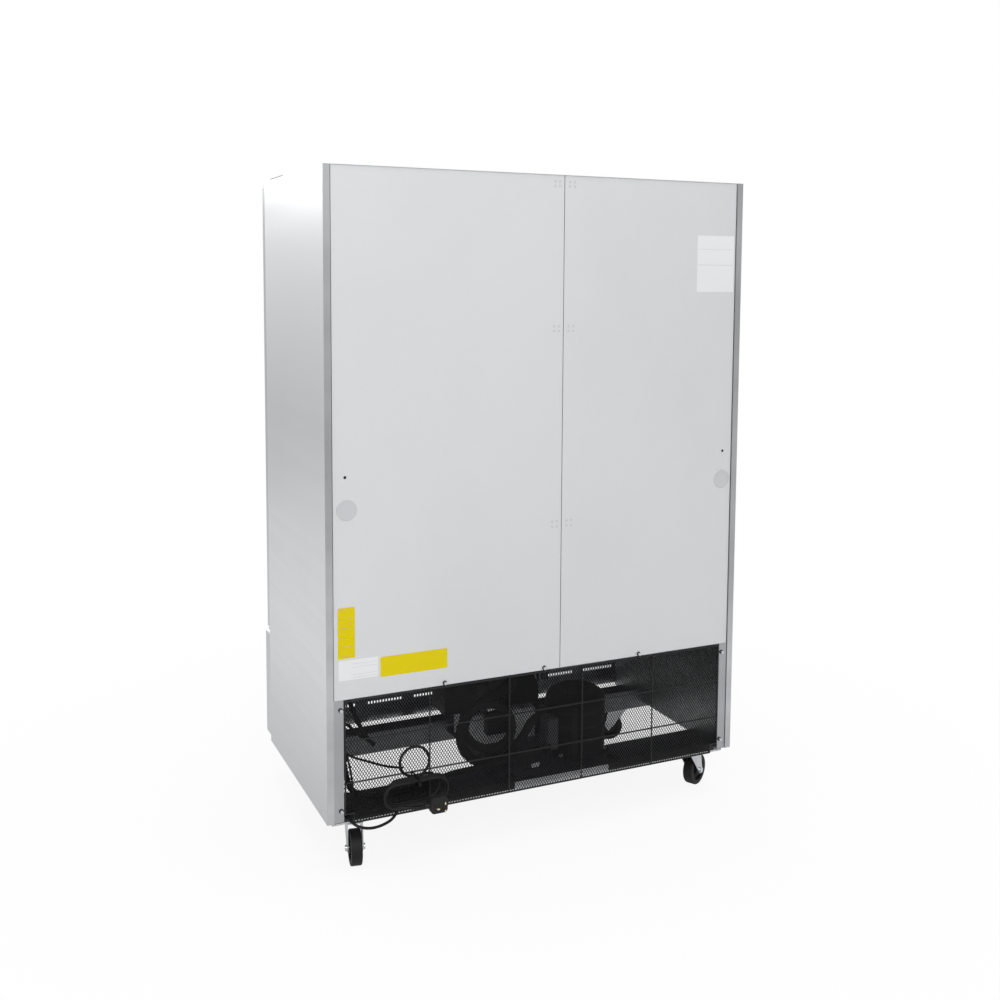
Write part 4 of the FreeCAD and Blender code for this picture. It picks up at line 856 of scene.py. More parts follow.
@dataclass
class MainsLead:
    """The mains lead: free stretch, tied bundle, strain relief, tie and plug. Millimetres."""

    radius: float = 4.0
    length: float = 2246.0
    start: Triple = (61.0, -2.0, 9.5)
    route: tuple[Triple, ...] = (
        (61.0, -2.0, 9.5), (61.0, 26.0, 9.5), (78.0, 44.0, 0.0), (110.0, 46.0, -9.0),
        (148.0, 38.0, -10.0), (184.0, 30.0, 0.0))
    last_run: Triple = (32.0, 6.0, 14.0)
    coil_left: float = 246.0
    coil_bottom: float = 36.0
    coil_out: float = 16.0
    layer: float = 9.4
    tie_radius: float = 36.0
    end_radii: tuple[float, ...] = (36.0, 34.0, 31.0, 33.0)
    left_reaches: tuple[float, ...] = (100.0, 84.0, 92.0, 98.0)
    right_reaches: tuple[float, ...] = (74.0, 92.0, 82.0, 88.0)
    ring: float = 43.0
    ring_turn: int = 1
    plug_out: float = 82.0
    relief: float = 26.0
    relief_step: float = 1.6
    relief_shares: Triple = (1.7, 0.55, 0.14)
    plug_size: Triple = (50.0, 20.0, 46.0)
    neck: float = 16.0
    corner: float = 11.0
    hump: float = 3.0
    ribs: int = 5
    rib: Triple = (2.0, 7.4, 1.8)
    rib_steps: Pair = (3.0, 0.5)
    collar: tuple[float, ...] = (7.0, 6.6, 5.0, 16.0)
    screws: tuple[Pair, ...] = ((0.0, 0.0), (-16.0, -15.0))
    pin_sizes: tuple[tuple[float, ...], ...] = (
        (-11.0, 11.0, 4.0, 6.4, 19.0), (-11.0, -11.0, 4.0, 6.4, 19.0), (11.0, 0.0, 8.0, 4.0, 23.0))

    @property
    def high(self) -> float:
        """Height of the upper end of the tie."""
        return self.coil_bottom + 2 * self.tie_radius

    def lobe(self, radius: float, reach: float, side: int) -> list[Mark]:
        """Stations round one end of a turn.

        Args:
            radius: Radius of the end.
            reach: How far it stands from the tie.
            side: 1 for the right-hand end as seen from behind, -1 for the left.

        Returns:
            Left, up and flat direction of each station.
        """
        far = self.coil_left + side * (reach - radius)
        stations = [(far, self.high, -1, 0), (far + side * radius, self.high - radius, 0, side),
                    (far, self.high - 2 * radius, 1, 0)]
        return stations if side < 0 else stations[::-1]

    def turns(self) -> list[tuple[float, list[Mark]]]:
        """The bundle's turns.

        Returns:
            The stations of each turn, with the share of a layer that it takes.
        """
        left, high, ring = self.coil_left, self.high, self.ring
        tie = (left, high, -1, 0)
        right = self.lobe(self.end_radii[0], self.right_reaches[0], 1)
        made = [(0.5, [(left, self.coil_bottom, 1, 0), *right, tie])]
        for turn, radius in enumerate(self.end_radii):
            if turn == self.ring_turn:
                made.append((1.0, [(left - ring, high + ring, 0, 1), (left, high + 2 * ring, 1, 0),
                                   (left + ring, high + ring, 0, -1), tie]))
            if turn > 0:
                made.append((1.0, [*self.lobe(radius, self.left_reaches[turn], -1),
                                   *self.lobe(radius, self.right_reaches[turn], 1), tie]))
        last = self.end_radii[-1]
        made.append((0.5, [*self.lobe(last, self.left_reaches[0], -1), (left, high - 2 * last, 1, 0)]))
        return made

    def stations(self) -> tuple[list[Vector], list[Vector]]:
        """The bundle's stations.

        Returns:
            Their places in millimetres, and the direction of the lead at each.
        """
        marks: list[Mark] = []
        outs = [self.coil_out]
        for share, stations in self.turns():
            whole = marks[-1:] + stations
            lengths = [math.hypot(b[0] - a[0], b[1] - a[1]) for a, b in zip(whole, whole[1:])]
            for length in lengths:
                outs.append(outs[-1] + share * self.layer * length / sum(lengths))
            marks += stations
        outs[-1] = self.plug_out
        rises = [(outs[i + 1] - outs[i]) / math.dist(marks[i + 1][:2], marks[i][:2])
                 for i in range(len(marks) - 1)]
        slopes = [math.atan(rises[0])]
        slopes += [math.atan((before + after) / 2) for before, after in zip(rises[:-1], rises[1:-1])]
        slopes += [math.atan(rises[-2]), 0.0]
        places = [spot(mark[0], out, mark[1]) / MM for mark, out in zip(marks, outs)]
        ways = [Vector((-mark[2] * math.cos(slope), math.sin(slope), mark[3] * math.cos(slope)))
                for mark, slope in zip(marks, slopes)]
        return places, ways

    @staticmethod
    def corners(start: Vector, leaving: Vector, end: Vector, arriving: Vector) -> list[Vector]:
        """The two control points that turn the lead from one station to the next.

        Args:
            start: The first station.
            leaving: Direction of the lead there.
            end: The next station.
            arriving: Direction of the lead there.

        Returns:
            The two points.
        """
        chord = end - start
        along = chord.dot(leaving + arriving)
        spread = 2 * (1 - leaving.dot(arriving))
        if spread > 1e-6:
            reach = (math.sqrt(along * along + spread * chord.length_squared) - along) / spread
        else:
            reach = chord.length_squared / (2 * along)
        return [start + leaving * reach, end - arriving * reach]

    def controls(self) -> list[Vector]:
        """Control points of the whole lead.

        Returns:
            The points, in metres.
        """
        places, ways = self.stations()
        points = [spot(*point) / MM for point in self.route]
        points.append(places[0] - ways[0] * Vector(self.last_run).length)
        for i in range(len(places) - 1):
            points += self.corners(places[i], ways[i], places[i + 1], ways[i + 1])
        points += [places[-1], places[-1] + ways[-1] * 2 * self.radius]
        return [point * MM for point in points]

    def shell(self, end: Vector) -> Item:
        """Models the plug's shell.

        Args:
            end: Where the lead goes in.

        Returns:
            The shell.
        """
        wide, thick, tall = (side * MM for side in self.plug_size)
        face = end.x - self.neck * MM
        work = bmesh.new()
        Shop.block(work, Vector((face - wide, end.y - thick / 2, end.z - tall / 2)),
                   Vector((face, end.y + thick / 2, end.z + tall / 2)))
        Shop.bevel_along(work, 1, thick / 2, self.corner, 8)
        back = [part for part in work.faces if part.normal.y < -FACING]
        bmesh.ops.inset_region(work, faces=back, thickness=4 * MM, depth=0.0)
        for vert in {vert for part in back for vert in part.verts}:
            vert.co.y -= self.hump * MM
        front = [part for part in work.faces if part.normal.y > FACING]
        bmesh.ops.inset_region(work, faces=front, thickness=1.2 * MM, depth=-0.6 * MM)
        Shop.rounded(work, 0.6, 2, 25.0)
        first, radius, thickness = self.rib
        further, less = self.rib_steps
        rings = [(first + step * further, radius - step * less, radius - step * less, thickness)
                 for step in range(self.ribs)]
        for along, start, finish, length in (*rings, self.collar):
            Shop.disc(work, Vector((face + along * MM, end.y, end.z)), Axis.X, (start, finish), length, 24)
        for dx, dz in self.screws:
            Shop.disc(work, Vector((face - wide / 2 + dx * MM, end.y + thick / 2, end.z + dz * MM)), Axis.Y,
                      (2.6, 2.2), 1.0, 20)
        return Shop.piece("plug_shell", work, Surface.PLUG)

    def pins(self, end: Vector) -> Item:
        """Models the three pins.

        Args:
            end: Where the lead goes into the plug.

        Returns:
            The pins.
        """
        wide, thick, _ = (side * MM for side in self.plug_size)
        root = Vector((end.x - self.neck * MM - wide / 2, end.y + thick / 2 - 1 * MM, end.z))
        work = bmesh.new()
        for dx, dz, across, tall, long in self.pin_sizes:
            Shop.block(work, root + Vector((dx - across / 2, 0.0, dz - tall / 2)) * MM,
                       root + Vector((dx + across / 2, long, dz + tall / 2)) * MM)
        Shop.rounded(work, 0.7, 3)
        return Shop.piece("plug_pins", work, Surface.BRASS)

    def strap(self) -> Item:
        """Models the cable tie round the bundle and the guard's lower bar.

        Returns:
            The tie with its head and tail.
        """
        low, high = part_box("cord_tie")
        work = bmesh.new()
        root = Vector((low.x, high.y, (low.z + high.z) / 2))
        across = Vector((high.x - low.x, 0.0, 0.0))
        Shop.block(work, low, high)
        Shop.opened(work, [part for part in work.faces if abs(part.normal.x) > FACING])
        Shop.bevel_along(work, 0, 1 * MM, 5.5, 6)
        bmesh.ops.solidify(work, geom=work.faces, thickness=1.1 * MM)
        Shop.block(work, root + Vector((-1.0, -2.0, -4.0)) * MM, root + across + Vector((1.0, 2.5, 3.0)) * MM)
        tail = Shop.block(work, root + Vector((0.8, -0.6, 3.0)) * MM,
                          root + across + Vector((-0.8, 0.4, 26.0)) * MM)
        Shop.turn(work, tail, root + across / 2 + Vector((0.0, 0.0, 3 * MM)), -24.0, Axis.X)
        return Shop.piece("bundle_tie", work, Surface.CORD)

    def build(self) -> None:
        """Builds the lead and what is on it."""
        points = self.controls()
        lead = Shop.strand("mains_lead", points, self.radius, Surface.CORD)
        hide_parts("cord_lead", "cord_coil")
        line = Shop.line_of(lead)
        walked = 0.0
        sleeve = [line[0]]
        for before, after in zip(line, line[1:]):
            walked += (after - before).length
            if walked > self.relief * MM:
                break
            if (after - sleeve[-1]).length > self.relief_step * MM:
                sleeve.append(after)
        wide, taper, groove = self.relief_shares
        shares = [wide - taper * i / (len(sleeve) - 1) - (groove if i % 2 else 0.0)
                  for i in range(len(sleeve))]
        relief = Shop.strand("strain_relief", sleeve, self.radius, Surface.CORD, shares, smooth=False)
        shell = self.shell(points[-1])
        pins = self.pins(points[-1])
        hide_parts("plug")
        strap = self.strap()
        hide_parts("cord_tie")
        Shop.dress(Surface.CORD, "cord_gland")
        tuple(spot(*self.start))


@dataclass
class BackOfCabinet:
    """What sits on the back sheets: port caps, pressed dimples, small holes and blank labels."""

    caps: tuple[Pair, ...] = ((61.0, 875.0), (1284.0, 881.0))
    holes: tuple[Pair, ...] = ((57.0, 965.0), (1286.0, 969.0))
    cap_radius: float = 29.0
    dimple_columns: tuple[float, ...] = (688.0, 703.0, 735.0, 751.0)
    dimple_rows: tuple[float, ...] = (777.0, 792.0, 1352.0, 1366.0, 1768.0, 1781.0)
    dimple: tuple[Pair, ...] = ((0.0, -0.3), (3.6, -0.3), (3.4, 0.25), (2.6, 0.3), (2.0, -0.1), (0.0, -0.15))
    eyelet: tuple[Pair, ...] = ((4.2, -0.3), (4.2, 0.35), (2.9, 0.35), (2.6, 0.02), (0.0, 0.02), (0.0, -0.3))
    labels: tuple[tuple[str, float, float, float, float], ...] = (
        ("yellow_strip", 34.0, 83.0, 464.0, 606.0), ("white_notice", 36.0, 149.0, 402.0, 458.0),
        ("yellow_notice", 156.0, 356.0, 398.0, 455.0), ("white_plate", 1178.0, 1313.0, 1466.0, 1638.0))
    strip_rules: tuple[float, ...] = (470.0, 496.0, 522.0, 548.0, 574.0, 600.0)
    notice_rules: tuple[float, ...] = (408.0, 416.0, 436.0, 446.0)
    plate_rules: tuple[Pair, ...] = ((1548.0, 0.6), (1596.0, 0.4))
    film: float = 0.25
    lip: float = 20.0
    joint_width: float = 2.4
    lip_edge: float = 0.3
    seam_depth: float = 0.4
    sheet_low: float = 348.0

    def port_caps(self) -> None:
        """Models the two plugs that close the foaming ports."""
        reach = self.cap_radius
        profile = [(0.0, -2.0), (reach * 0.9, -2.0), (reach * 0.9, 0.0), (reach, 0.0), (reach, 0.9),
                   (reach - 1, 1.6), (reach * 0.8, 1.7), (reach * 0.74, 1.2), (reach * 0.4, 1.35), (0.0, 1.5)]
        for side, place in zip(("left", "right"), self.caps):
            self.rounds(f"port_cap_{side}", profile, [place], 56, Surface.CAP)

    @staticmethod
    def rounds(name: str, profile: list[Pair], places: list[Pair], steps: int, surface: Surface) -> None:
        """Models the same small round shape at places on the back sheets.

        Args:
            name: Name of the piece.
            profile: Pairs of radius and height over the sheet.
            places: Left and up of each.
            steps: Number of steps round.
            surface: Their finish.
        """
        work = bmesh.new()
        for left, up in places:
            Shop.turned(work, profile, spot(left, SHEET_OUT, up), Axis.Y, steps)
        Shop.piece(name, work, surface)

    def joints(self) -> None:
        """Models dark strips as painted shadow in the seam between the back sheets and in the joints beside
        the side panels' lips, and the lips themselves, whose darker steel is a painted reflection.
        """
        work = bmesh.new()
        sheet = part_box("back_panel_wide")
        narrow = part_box("back_panel_narrow")
        # Painted shadow: a dark strip in the seam between the back sheets.
        Shop.block(work, Vector((narrow[1].x, sheet[0].y, sheet[0].z)),
                   Vector((sheet[0].x, sheet[1].y - self.seam_depth * MM, sheet[1].z)))
        top = CAB.top - CAB.body
        lips = bmesh.new()
        far = 2 * CAB.half
        for start, edge, step in ((self.lip_edge, self.lip, self.joint_width),
                                  (far - self.lip_edge, far - self.lip, -self.joint_width)):
            # Painted shadow: dark strips in the gaps beside the side panels' lips.
            Shop.block(work, spot(edge, SUNK, self.sheet_low), spot(edge + step, SHEET_OUT + 0.2, top))
            Shop.block(lips, spot(start, -0.05, self.lip_edge), spot(edge, 0.3, top))
        Shop.piece("panel_joint_shadows", work, Surface.DARK)
        Shop.piece("panel_lips", lips, Surface.LIP)

    def sticker(self, name: str, left: float, right: float, low: float, high: float) -> None:
        """Models one blank label with rounded corners.

        Args:
            name: Name of the piece.
            left: Its left edge.
            right: Its right edge.
            low: Its lower edge.
            high: Its upper edge.
        """
        work = bmesh.new()
        Shop.block(work, spot(left, SUNK, low), spot(right, SHEET_OUT + self.film, high))
        Shop.bevel_along(work, 1, 0.1 * MM, 2.5, 5)
        Shop.piece(name, work, Surface.LABEL_YELLOW if "yellow" in name else Surface.LABEL_WHITE)

    def rules(self) -> None:
        """Models the printed rules of the blank labels."""
        work = bmesh.new()
        runs = [(38.0, 79.0, up, 0.5) for up in self.strip_rules]
        runs += [(74.0, 146.0, up, 0.4) for up in self.notice_rules]
        runs += [(1182.0, 1309.0, up, tall) for up, tall in self.plate_rules]
        for left, right, up, tall in runs:
            Shop.block(work, spot(left, SHEET_OUT, up), spot(right, SHEET_OUT + self.film + 0.04, up + tall))
        Shop.piece("label_rules", work, Surface.INK)

    def build(self) -> None:
        """Dresses the outer sheets and builds the small pieces."""
        Shop.dress(Surface.SIDE, "side_panel_left", "side_panel_right")
        Shop.dress(Surface.TOP, "top_panel")
        Shop.dress(Surface.BACK, "back_panel_wide", "back_panel_narrow")
        self.port_caps()
        places = [(left, up) for left in self.dimple_columns for up in self.dimple_rows]
        self.rounds("seam_dimples", self.dimple, places, 12, Surface.DIMPLE)
        self.rounds("vent_eyelets", self.eyelet, self.holes, 20, Surface.DARK)
        self.joints()
        for label in self.labels:
            self.sticker(*label)
        self.rules()


@dataclass
class RearGuard:
    """The guard of the bay: its wires and a fine expanded mesh behind them. Lengths in millimetres."""

    left: float = 50.0
    bottom: float = -9.0
    top: float = 345.0
    shoulder_row: int = 2
    shoulder_columns: int = 3
    pitch: float = 8.493
    rise: float = 13.0
    columns: int = 146
    rows: int = 27
    splits: tuple[int, ...] = (0, 29, 58, 88, 117, 146)
    mesh_out: float = -5.4
    strand_width: float = 2.0
    strand_thick: float = 0.6
    tilt: float = 12.0
    wire: float = 2.1
    wire_out: float = 1.0
    inner: float = 2.5
    uprights: tuple[float, ...] = (301.0, 551.0, 793.0, 1041.0)
    bars: tuple[float, ...] = (111.0, 230.0)

    def cell(self, work: Mesh, column: int, row: int) -> None:
        """Adds the four strands of one mesh opening, without their hidden ends.

        Args:
            work: Mesh to add to.
            column: Column of the opening.
            row: Row of the opening.
        """
        reach = math.hypot(self.pitch, self.rise) / 2
        centre = spot(self.left + (column + 0.5) * self.pitch, self.mesh_out,
                      self.bottom + (row + 0.5) * self.rise)
        for across, climb in ((1, 1), (1, -1), (-1, 1), (-1, -1)):
            slope = math.atan2(climb * self.rise, -across * self.pitch)
            middle = centre + Vector((-across * self.pitch, 0.0, climb * self.rise)) * (MM / 4)
            turn = Matrix.Rotation(-slope, 4, "Y") @ Matrix.Rotation(math.radians(self.tilt * climb), 4, "X")
            size = Matrix.Diagonal(((reach + 0.5) * MM, self.strand_thick * MM, self.strand_width * MM, 1.0))
            bmesh.ops.create_cube(work, size=1.0, matrix=Matrix.Translation(middle) @ turn @ size)
        end_area = 1.2 * self.strand_thick * self.strand_width * MM * MM
        Shop.opened(work, [part for part in work.faces if part.calc_area() < end_area])

    def sheet(self, name: str, columns: tuple[int, int], rows: tuple[int, int]) -> Item:
        """Models a rectangle of mesh by repeating one opening.

        Args:
            name: Name of the piece.
            columns: First column and the column after the last one.
            rows: First row and the row after the last one.

        Returns:
            The sheet.
        """
        work = bmesh.new()
        self.cell(work, columns[0], rows[0])
        made = Shop.piece(name, work, Surface.MESH, turned_out=False)
        steps = ((columns[1] - columns[0], Vector((-self.pitch, 0.0, 0.0))),
                 (rows[1] - rows[0], Vector((0.0, 0.0, self.rise))))
        for label, (count, step) in zip(("across", "up"), steps):
            repeat = made.modifiers.new(label, "ARRAY")
            repeat.count = count
            repeat.use_relative_offset = False
            repeat.use_constant_offset = True
            repeat.constant_offset_displace = step * MM
        return made

    def wires(self) -> None:
        """Models the bars of the guard, which are seen before the mesh."""
        low, high = self.bottom + self.inner, self.top - self.inner
        near, far = self.left + self.inner, 2 * CAB.half - self.left - self.inner
        runs = [(f"guard_upright_{number}", (left, low), (left, high))
                for number, left in enumerate(self.uprights, 1)]
        runs += [(f"guard_bar_{number}", (near, up), (far, up)) for number, up in enumerate(self.bars, 1)]
        for name, start, end in runs:
            middle = ((start[0] + end[0]) / 2, (start[1] + end[1]) / 2)
            points = [spot(left, self.wire_out, up) for left, up in (start, middle, end)]
            Shop.strand(name, points, self.wire, Surface.BLACK_PAINT)

    def build(self) -> None:
        """Dresses the frame and builds wires and mesh, which is narrower at its foot."""
        Shop.dress(Surface.BLACK_PAINT, "guard_frame")
        self.wires()
        for number, (first, last) in enumerate(zip(self.splits, self.splits[1:]), 1):
            made = self.sheet(f"expanded_mesh_{number}", (first, last), (self.shoulder_row, self.rows))
            if number == 1:
                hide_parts("guard_mesh")
        foot = (self.shoulder_columns, self.columns - self.shoulder_columns)
        self.sheet("expanded_mesh_foot", foot, (0, self.shoulder_row))
        Shop.dress(Surface.ZINC, "screws_and_bolts")


@dataclass
class CoolingUnit:
    """The machine bay: jacketed compressor, coils, pipes, wiring and their small parts. Millimetres."""

    axis: Pair = (-176.0, 220.3)
    base: float = 191.5
    top: float = 374.9
    outer: float = 93.4
    cloth: float = 12.0
    shoulder: float = 36.0
    shoulder_steps: int = 8
    wall_rows: int = 30
    straps: tuple[float, ...] = (232.0, 276.0, 318.0)
    strap: tuple[Pair, ...] = ((-1.0, -3.0), (0.0, -3.4), (0.9, -2.4), (0.9, 2.4), (0.0, 3.4), (-1.0, 3.0),
                               (-1.0, -3.0))
    seam_angle: float = 62.0
    seam_count: int = 5
    steps: int = 120
    crown: float = 2.0
    pinch_width: float = 4.0
    pinch_depth: float = 2.2
    pinch_most: float = 1.3
    seam_share: float = 0.8
    sag: float = 0.6
    cover: tuple[Triple, Triple] = ((-82.6, 233.3, 213.5), (-48.6, 285.3, 309.5))
    cover_grow: float = 1.2
    cover_ribs: int = 7
    cover_rib: Triple = (3.0, 4.0, 12.0)
    foot: tuple[Pair, ...] = ((0.0, -1.0), (12.0, -1.0), (12.0, 4.0), (9.0, 7.0), (0.0, 7.0))
    coil_rows: int = 5
    tube: float = 5.0
    guard_rings: tuple[float, ...] = (18.0, 32.0, 46.0, 60.0, 74.0, 88.0)
    guard_arms: int = 8
    guard_arm: tuple[Triple, Triple] = ((13.0, 0.3, -1.1), (91.0, 2.5, 1.1))
    guard_turn: float = 22.5
    feet: Pair = (576.0, 922.0)
    tray: tuple[Triple, Triple] = ((784.0, -430.0, 18.5), (554.0, -300.0, 114.5))
    tray_sheet: float = 2.5
    relay: tuple[Triple, Triple] = ((682.0, -299.0, 58.0), (600.0, -268.0, 129.0))
    drain: Triple = (747.0, -160.0, 0.0)
    funnel: tuple[float, ...] = (316.0, 22.0, 44.0, 56.0)
    spout: tuple[float, ...] = (276.0, 12.0, 12.0, 28.0)
    rail_end: float = 29.2
    # Left edges of the bright patch of the rail's face, which the painted shade leaves out.
    unshaded_patch: Pair = (580.0, 900.0)
    post: Pair = (20.4, 48.6)
    post_low: float = 1.0
    post_high: float = 347.5
    wiring: tuple[tuple[str, float, Surface, tuple[Triple, ...]], ...] = (
        ("harness_strap", 6.5, Surface.HOSE, (
            (77.0, -60.0, 342.0), (84.0, -60.0, 316.0), (100.0, -60.0, 275.0), (115.5, -60.0, 240.0),
            (128.6, -60.0, 214.0), (144.0, -62.0, 192.0), (158.0, -68.0, 180.0))),
        ("harness_branch", 4.5, Surface.HOSE, (
            (60.0, -60.0, 262.0), (79.0, -60.0, 253.0), (92.0, -60.0, 238.0), (108.0, -60.0, 222.0),
            (128.0, -62.0, 204.0))),
        ("earth_wire", 1.2, Surface.TAG, (
            (748.0, -160.0, 300.0), (742.0, -158.0, 262.0), (728.0, -150.0, 244.0), (716.0, -150.0, 256.0),
            (712.0, -158.0, 280.0))),
        ("sensor_wire", 3.2, Surface.CORD, (
            (60.0, -10.0, 190.0), (76.0, -10.0, 179.0), (94.6, -10.0, 170.0), (125.5, -10.0, 157.0),
            (156.7, -10.0, 142.0), (191.5, -12.0, 129.0), (226.0, -14.0, 121.0))),
        ("inlet_wire", 3.0, Surface.CORD, (
            (58.0, -9.0, 190.0), (66.0, -9.0, 162.0), (70.0, -9.0, 138.0), (76.0, -9.0, 100.0),
            (75.0, -9.0, 66.0), (73.0, -12.0, 30.0), (66.0, -18.0, 10.0))),
        ("compressor_wires", 3.4, Surface.CORD, (
            (724.0, -74.0, 84.0), (716.0, -60.0, 56.0), (700.0, -52.0, 34.0), (664.0, -50.0, 26.0),
            (620.0, -64.0, 24.0))))
    tag: tuple[Triple, Triple] = ((-13.0, -0.4, -6.5), (13.0, 0.4, 6.5))
    tags: tuple[tuple[float, ...], ...] = ((538.0, -100.0, 216.0, 8.0), (658.0, -40.0, 43.0, 4.0))

    @property
    def centre(self) -> Vector:
        """Foot of the compressor's axis, in metres."""
        return Vector((*self.axis, 0.0)) * MM

    def jacket(self) -> None:
        """Models the quilted jacket, domed on top and pinched along its seams."""
        outer, inner = self.outer, self.outer - self.cloth
        profile = [(inner, self.base), (outer, self.base)]
        wall = self.top - self.shoulder
        profile += [(outer, self.base + (wall - self.base) * row / self.wall_rows)
                    for row in range(1, self.wall_rows + 1)]
        for step in range(1, self.shoulder_steps + 1):
            turn = math.pi / 2 * step / self.shoulder_steps
            profile.append((outer - self.shoulder * (1 - math.cos(turn)),
                            wall + self.shoulder * math.sin(turn)))
        flat = outer - self.shoulder
        profile += [(flat * share, self.top + self.crown * (1 - share * share))
                    for share in (0.75, 0.5, 0.25, 0.0)]
        profile += [(0.0, self.top - self.cloth), (flat, self.top - self.cloth), (inner, wall - 4.0),
                    (inner, self.base)]
        work = bmesh.new()
        Shop.turned(work, profile, self.centre, Axis.Z, self.steps)
        for vert in work.verts:
            way = (vert.co - self.centre).xy
            if way.length / MM >= inner + 4.0 or vert.co.z / MM >= wall:
                self.quilt(vert, way)
        made = Shop.piece("compressor_jacket_quilted", work, Surface.JACKET)
        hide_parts("compressor_jacket")

    def quilt(self, vert: bmesh.types.BMVert, way: Vector) -> None:
        """Moves a point of the jacket in at its straps and seams, and lets it sag a little.

        Args:
            vert: The point.
            way: Where it is from the compressor's axis.
        """
        reach = way.length / MM
        bearing = math.degrees(math.atan2(way.y, way.x))
        pinch = sum(math.exp(-((vert.co.z / MM - strap) / self.pinch_width) ** 2) for strap in self.straps)
        for seam in range(self.seam_count):
            off = (bearing - self.seam_angle - seam * 360.0 / self.seam_count + 180.0) % 360.0 - 180.0
            pinch += self.seam_share * math.exp(-(off * math.radians(1.0) * reach / self.pinch_width) ** 2)
        sag = self.sag * math.sin(math.radians(bearing * 7.0 + vert.co.z * 9000.0))
        if reach > 8.0:
            vert.co.xy += way.normalized() * ((sag - self.pinch_depth * min(pinch, self.pinch_most)) * MM)

    def jacket_straps(self) -> None:
        """Models the three bands that close the jacket, and the flap of its seam."""
        work = bmesh.new()
        reach = self.outer - 1.6
        for up in self.straps:
            profile = [(reach + out, up + rise) for out, rise in self.strap]
            Shop.turned(work, profile, self.centre, Axis.Z, 96)
        turn = math.radians(self.seam_angle)
        way = Vector((math.cos(turn), math.sin(turn), 0.0))
        flap = Shop.block(work, Vector((-1.4, -9.0, self.base + 2.0)) * MM,
                          Vector((1.4, 9.0, self.top - self.shoulder)) * MM)
        Shop.turn(work, flap, ORIGIN, self.seam_angle, Axis.Z)
        bmesh.ops.translate(work, verts=flap, vec=self.centre + way * (self.outer - 1.2) * MM)
        Shop.piece("jacket_straps", work, Surface.THREAD)

    def terminal_cover(self) -> None:
        """Models the ribbed cover over the compressor's terminals."""
        low, high = (Vector(corner) * MM for corner in self.cover)
        grow = Vector([self.cover_grow] * 3) * MM
        proud, tall, pitch = (size * MM for size in self.cover_rib)
        work = bmesh.new()
        Shop.block(work, low - grow, high + grow)
        Shop.rounded(work, 4.0, 4)
        for step in range(self.cover_ribs):
            z = low.z + pitch * (step + 1)
            Shop.block(work, Vector((low.x + proud, high.y, z)),
                       Vector((high.x - proud, high.y + proud, z + tall)))
            Shop.block(work, Vector((high.x, low.y + 5 * MM, z)),
                       Vector((high.x + proud, high.y - 5 * MM, z + tall)))
        Shop.piece("terminal_cover", work, Surface.TERMINAL)

    def rubber_feet(self) -> None:
        """Models the rubber feet under the ends of the unit's base plate."""
        work = bmesh.new()
        for left in self.feet:
            Shop.turned(work, self.foot, spot(left, -46.0, 19.5), Axis.Z, 28)
        Shop.piece("unit_rubber_feet", work, Surface.TYRE)

    def return_bends(self) -> None:
        """Models the half-round bends between the tubes of the condenser."""
        low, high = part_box("condenser_coil")
        rise = (high.z - low.z) / (self.coil_rows + 1)
        heights = [low.z + rise * (row + 1) for row in range(self.coil_rows)]
        work = bmesh.new()
        for index, (below, above) in enumerate(zip(heights, heights[1:])):
            side, end = (1, high.x) if index % 2 else (-1, low.x)
            rim = Vector((end, (low.y + high.y) / 2, below))
            ring = bmesh.ops.create_circle(
                work, cap_ends=True, segments=14, radius=self.tube * MM,
                matrix=Matrix.Translation(rim) @ Matrix.Rotation(math.pi / 2, 4, "Y"))["verts"]
            bmesh.ops.spin(work, geom=list({part for vert in ring for part in vert.link_faces}),
                           cent=Vector((end, rim.y, (below + above) / 2)), axis=(0, 1, 0), dvec=(0, 0, 0),
                           angle=math.pi * side, steps=12, use_duplicate=False)
        Shop.piece("condenser_return_bends", work, Surface.BLACK_COIL)

    def fan_guard(self) -> None:
        """Models the wire finger guard behind the condenser fan."""
        low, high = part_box("condenser_fan")
        work = bmesh.new()
        hub = Vector(((low.x + high.x) / 2, high.y + 3.0 * MM, (low.z + high.z) / 2))
        for ring in self.guard_rings:
            made = bmesh.ops.create_circle(
                work, cap_ends=False, segments=6, radius=1.1 * MM,
                matrix=Matrix.Translation(hub + Vector((ring * MM, 0, 0))))
            edges = list({edge for vert in made["verts"] for edge in vert.link_edges})
            bmesh.ops.spin(work, geom=made["verts"] + edges, cent=hub, axis=(0, 1, 0), dvec=(0, 0, 0),
                           angle=math.tau, steps=56, use_merge=True, use_duplicate=False)
        for arm in range(self.guard_arms):
            spoke = Shop.block(work, *(Vector(corner) * MM for corner in self.guard_arm))
            Shop.turn(work, spoke, ORIGIN, 360.0 * arm / self.guard_arms + self.guard_turn, Axis.Y)
            bmesh.ops.translate(work, verts=spoke, vec=hub)
        Shop.piece("condenser_fan_guard", work, Surface.GRIP)

    def wire_tags(self) -> None:
        """Models the two blank wire tags."""
        work = bmesh.new()
        for left, out, up, tilt in self.tags:
            tag = Shop.block(work, *(Vector(corner) * MM for corner in self.tag))
            Shop.turn(work, tag, ORIGIN, tilt, Axis.Y)
            bmesh.ops.translate(work, verts=tag, vec=spot(left, out, up))
        Shop.rounded(work, 0.3, 2)
        Shop.piece("wire_tags", work, Surface.TAG)

    def drip_tray(self) -> None:
        """Models the tray that catches the defrost water, round the plain one of the frame, in galvanised
        steel brightened to near white as painted light on a tray in shade.
        """
        low, high = (spot(*corner) for corner in self.tray)
        work = bmesh.new()
        grow = Vector((0.5, 0.5, 0.0)) * MM
        Shop.block(work, low - grow, high + grow + Vector((0.0, 0.0, 0.5 * MM)))
        Shop.opened(work, [part for part in work.faces if part.normal.z > FACING])
        bmesh.ops.recalc_face_normals(work, faces=work.faces)
        bmesh.ops.solidify(work, geom=work.faces, thickness=self.tray_sheet * MM)
        Shop.piece("drip_tray_skin", work, Surface.TRAY)

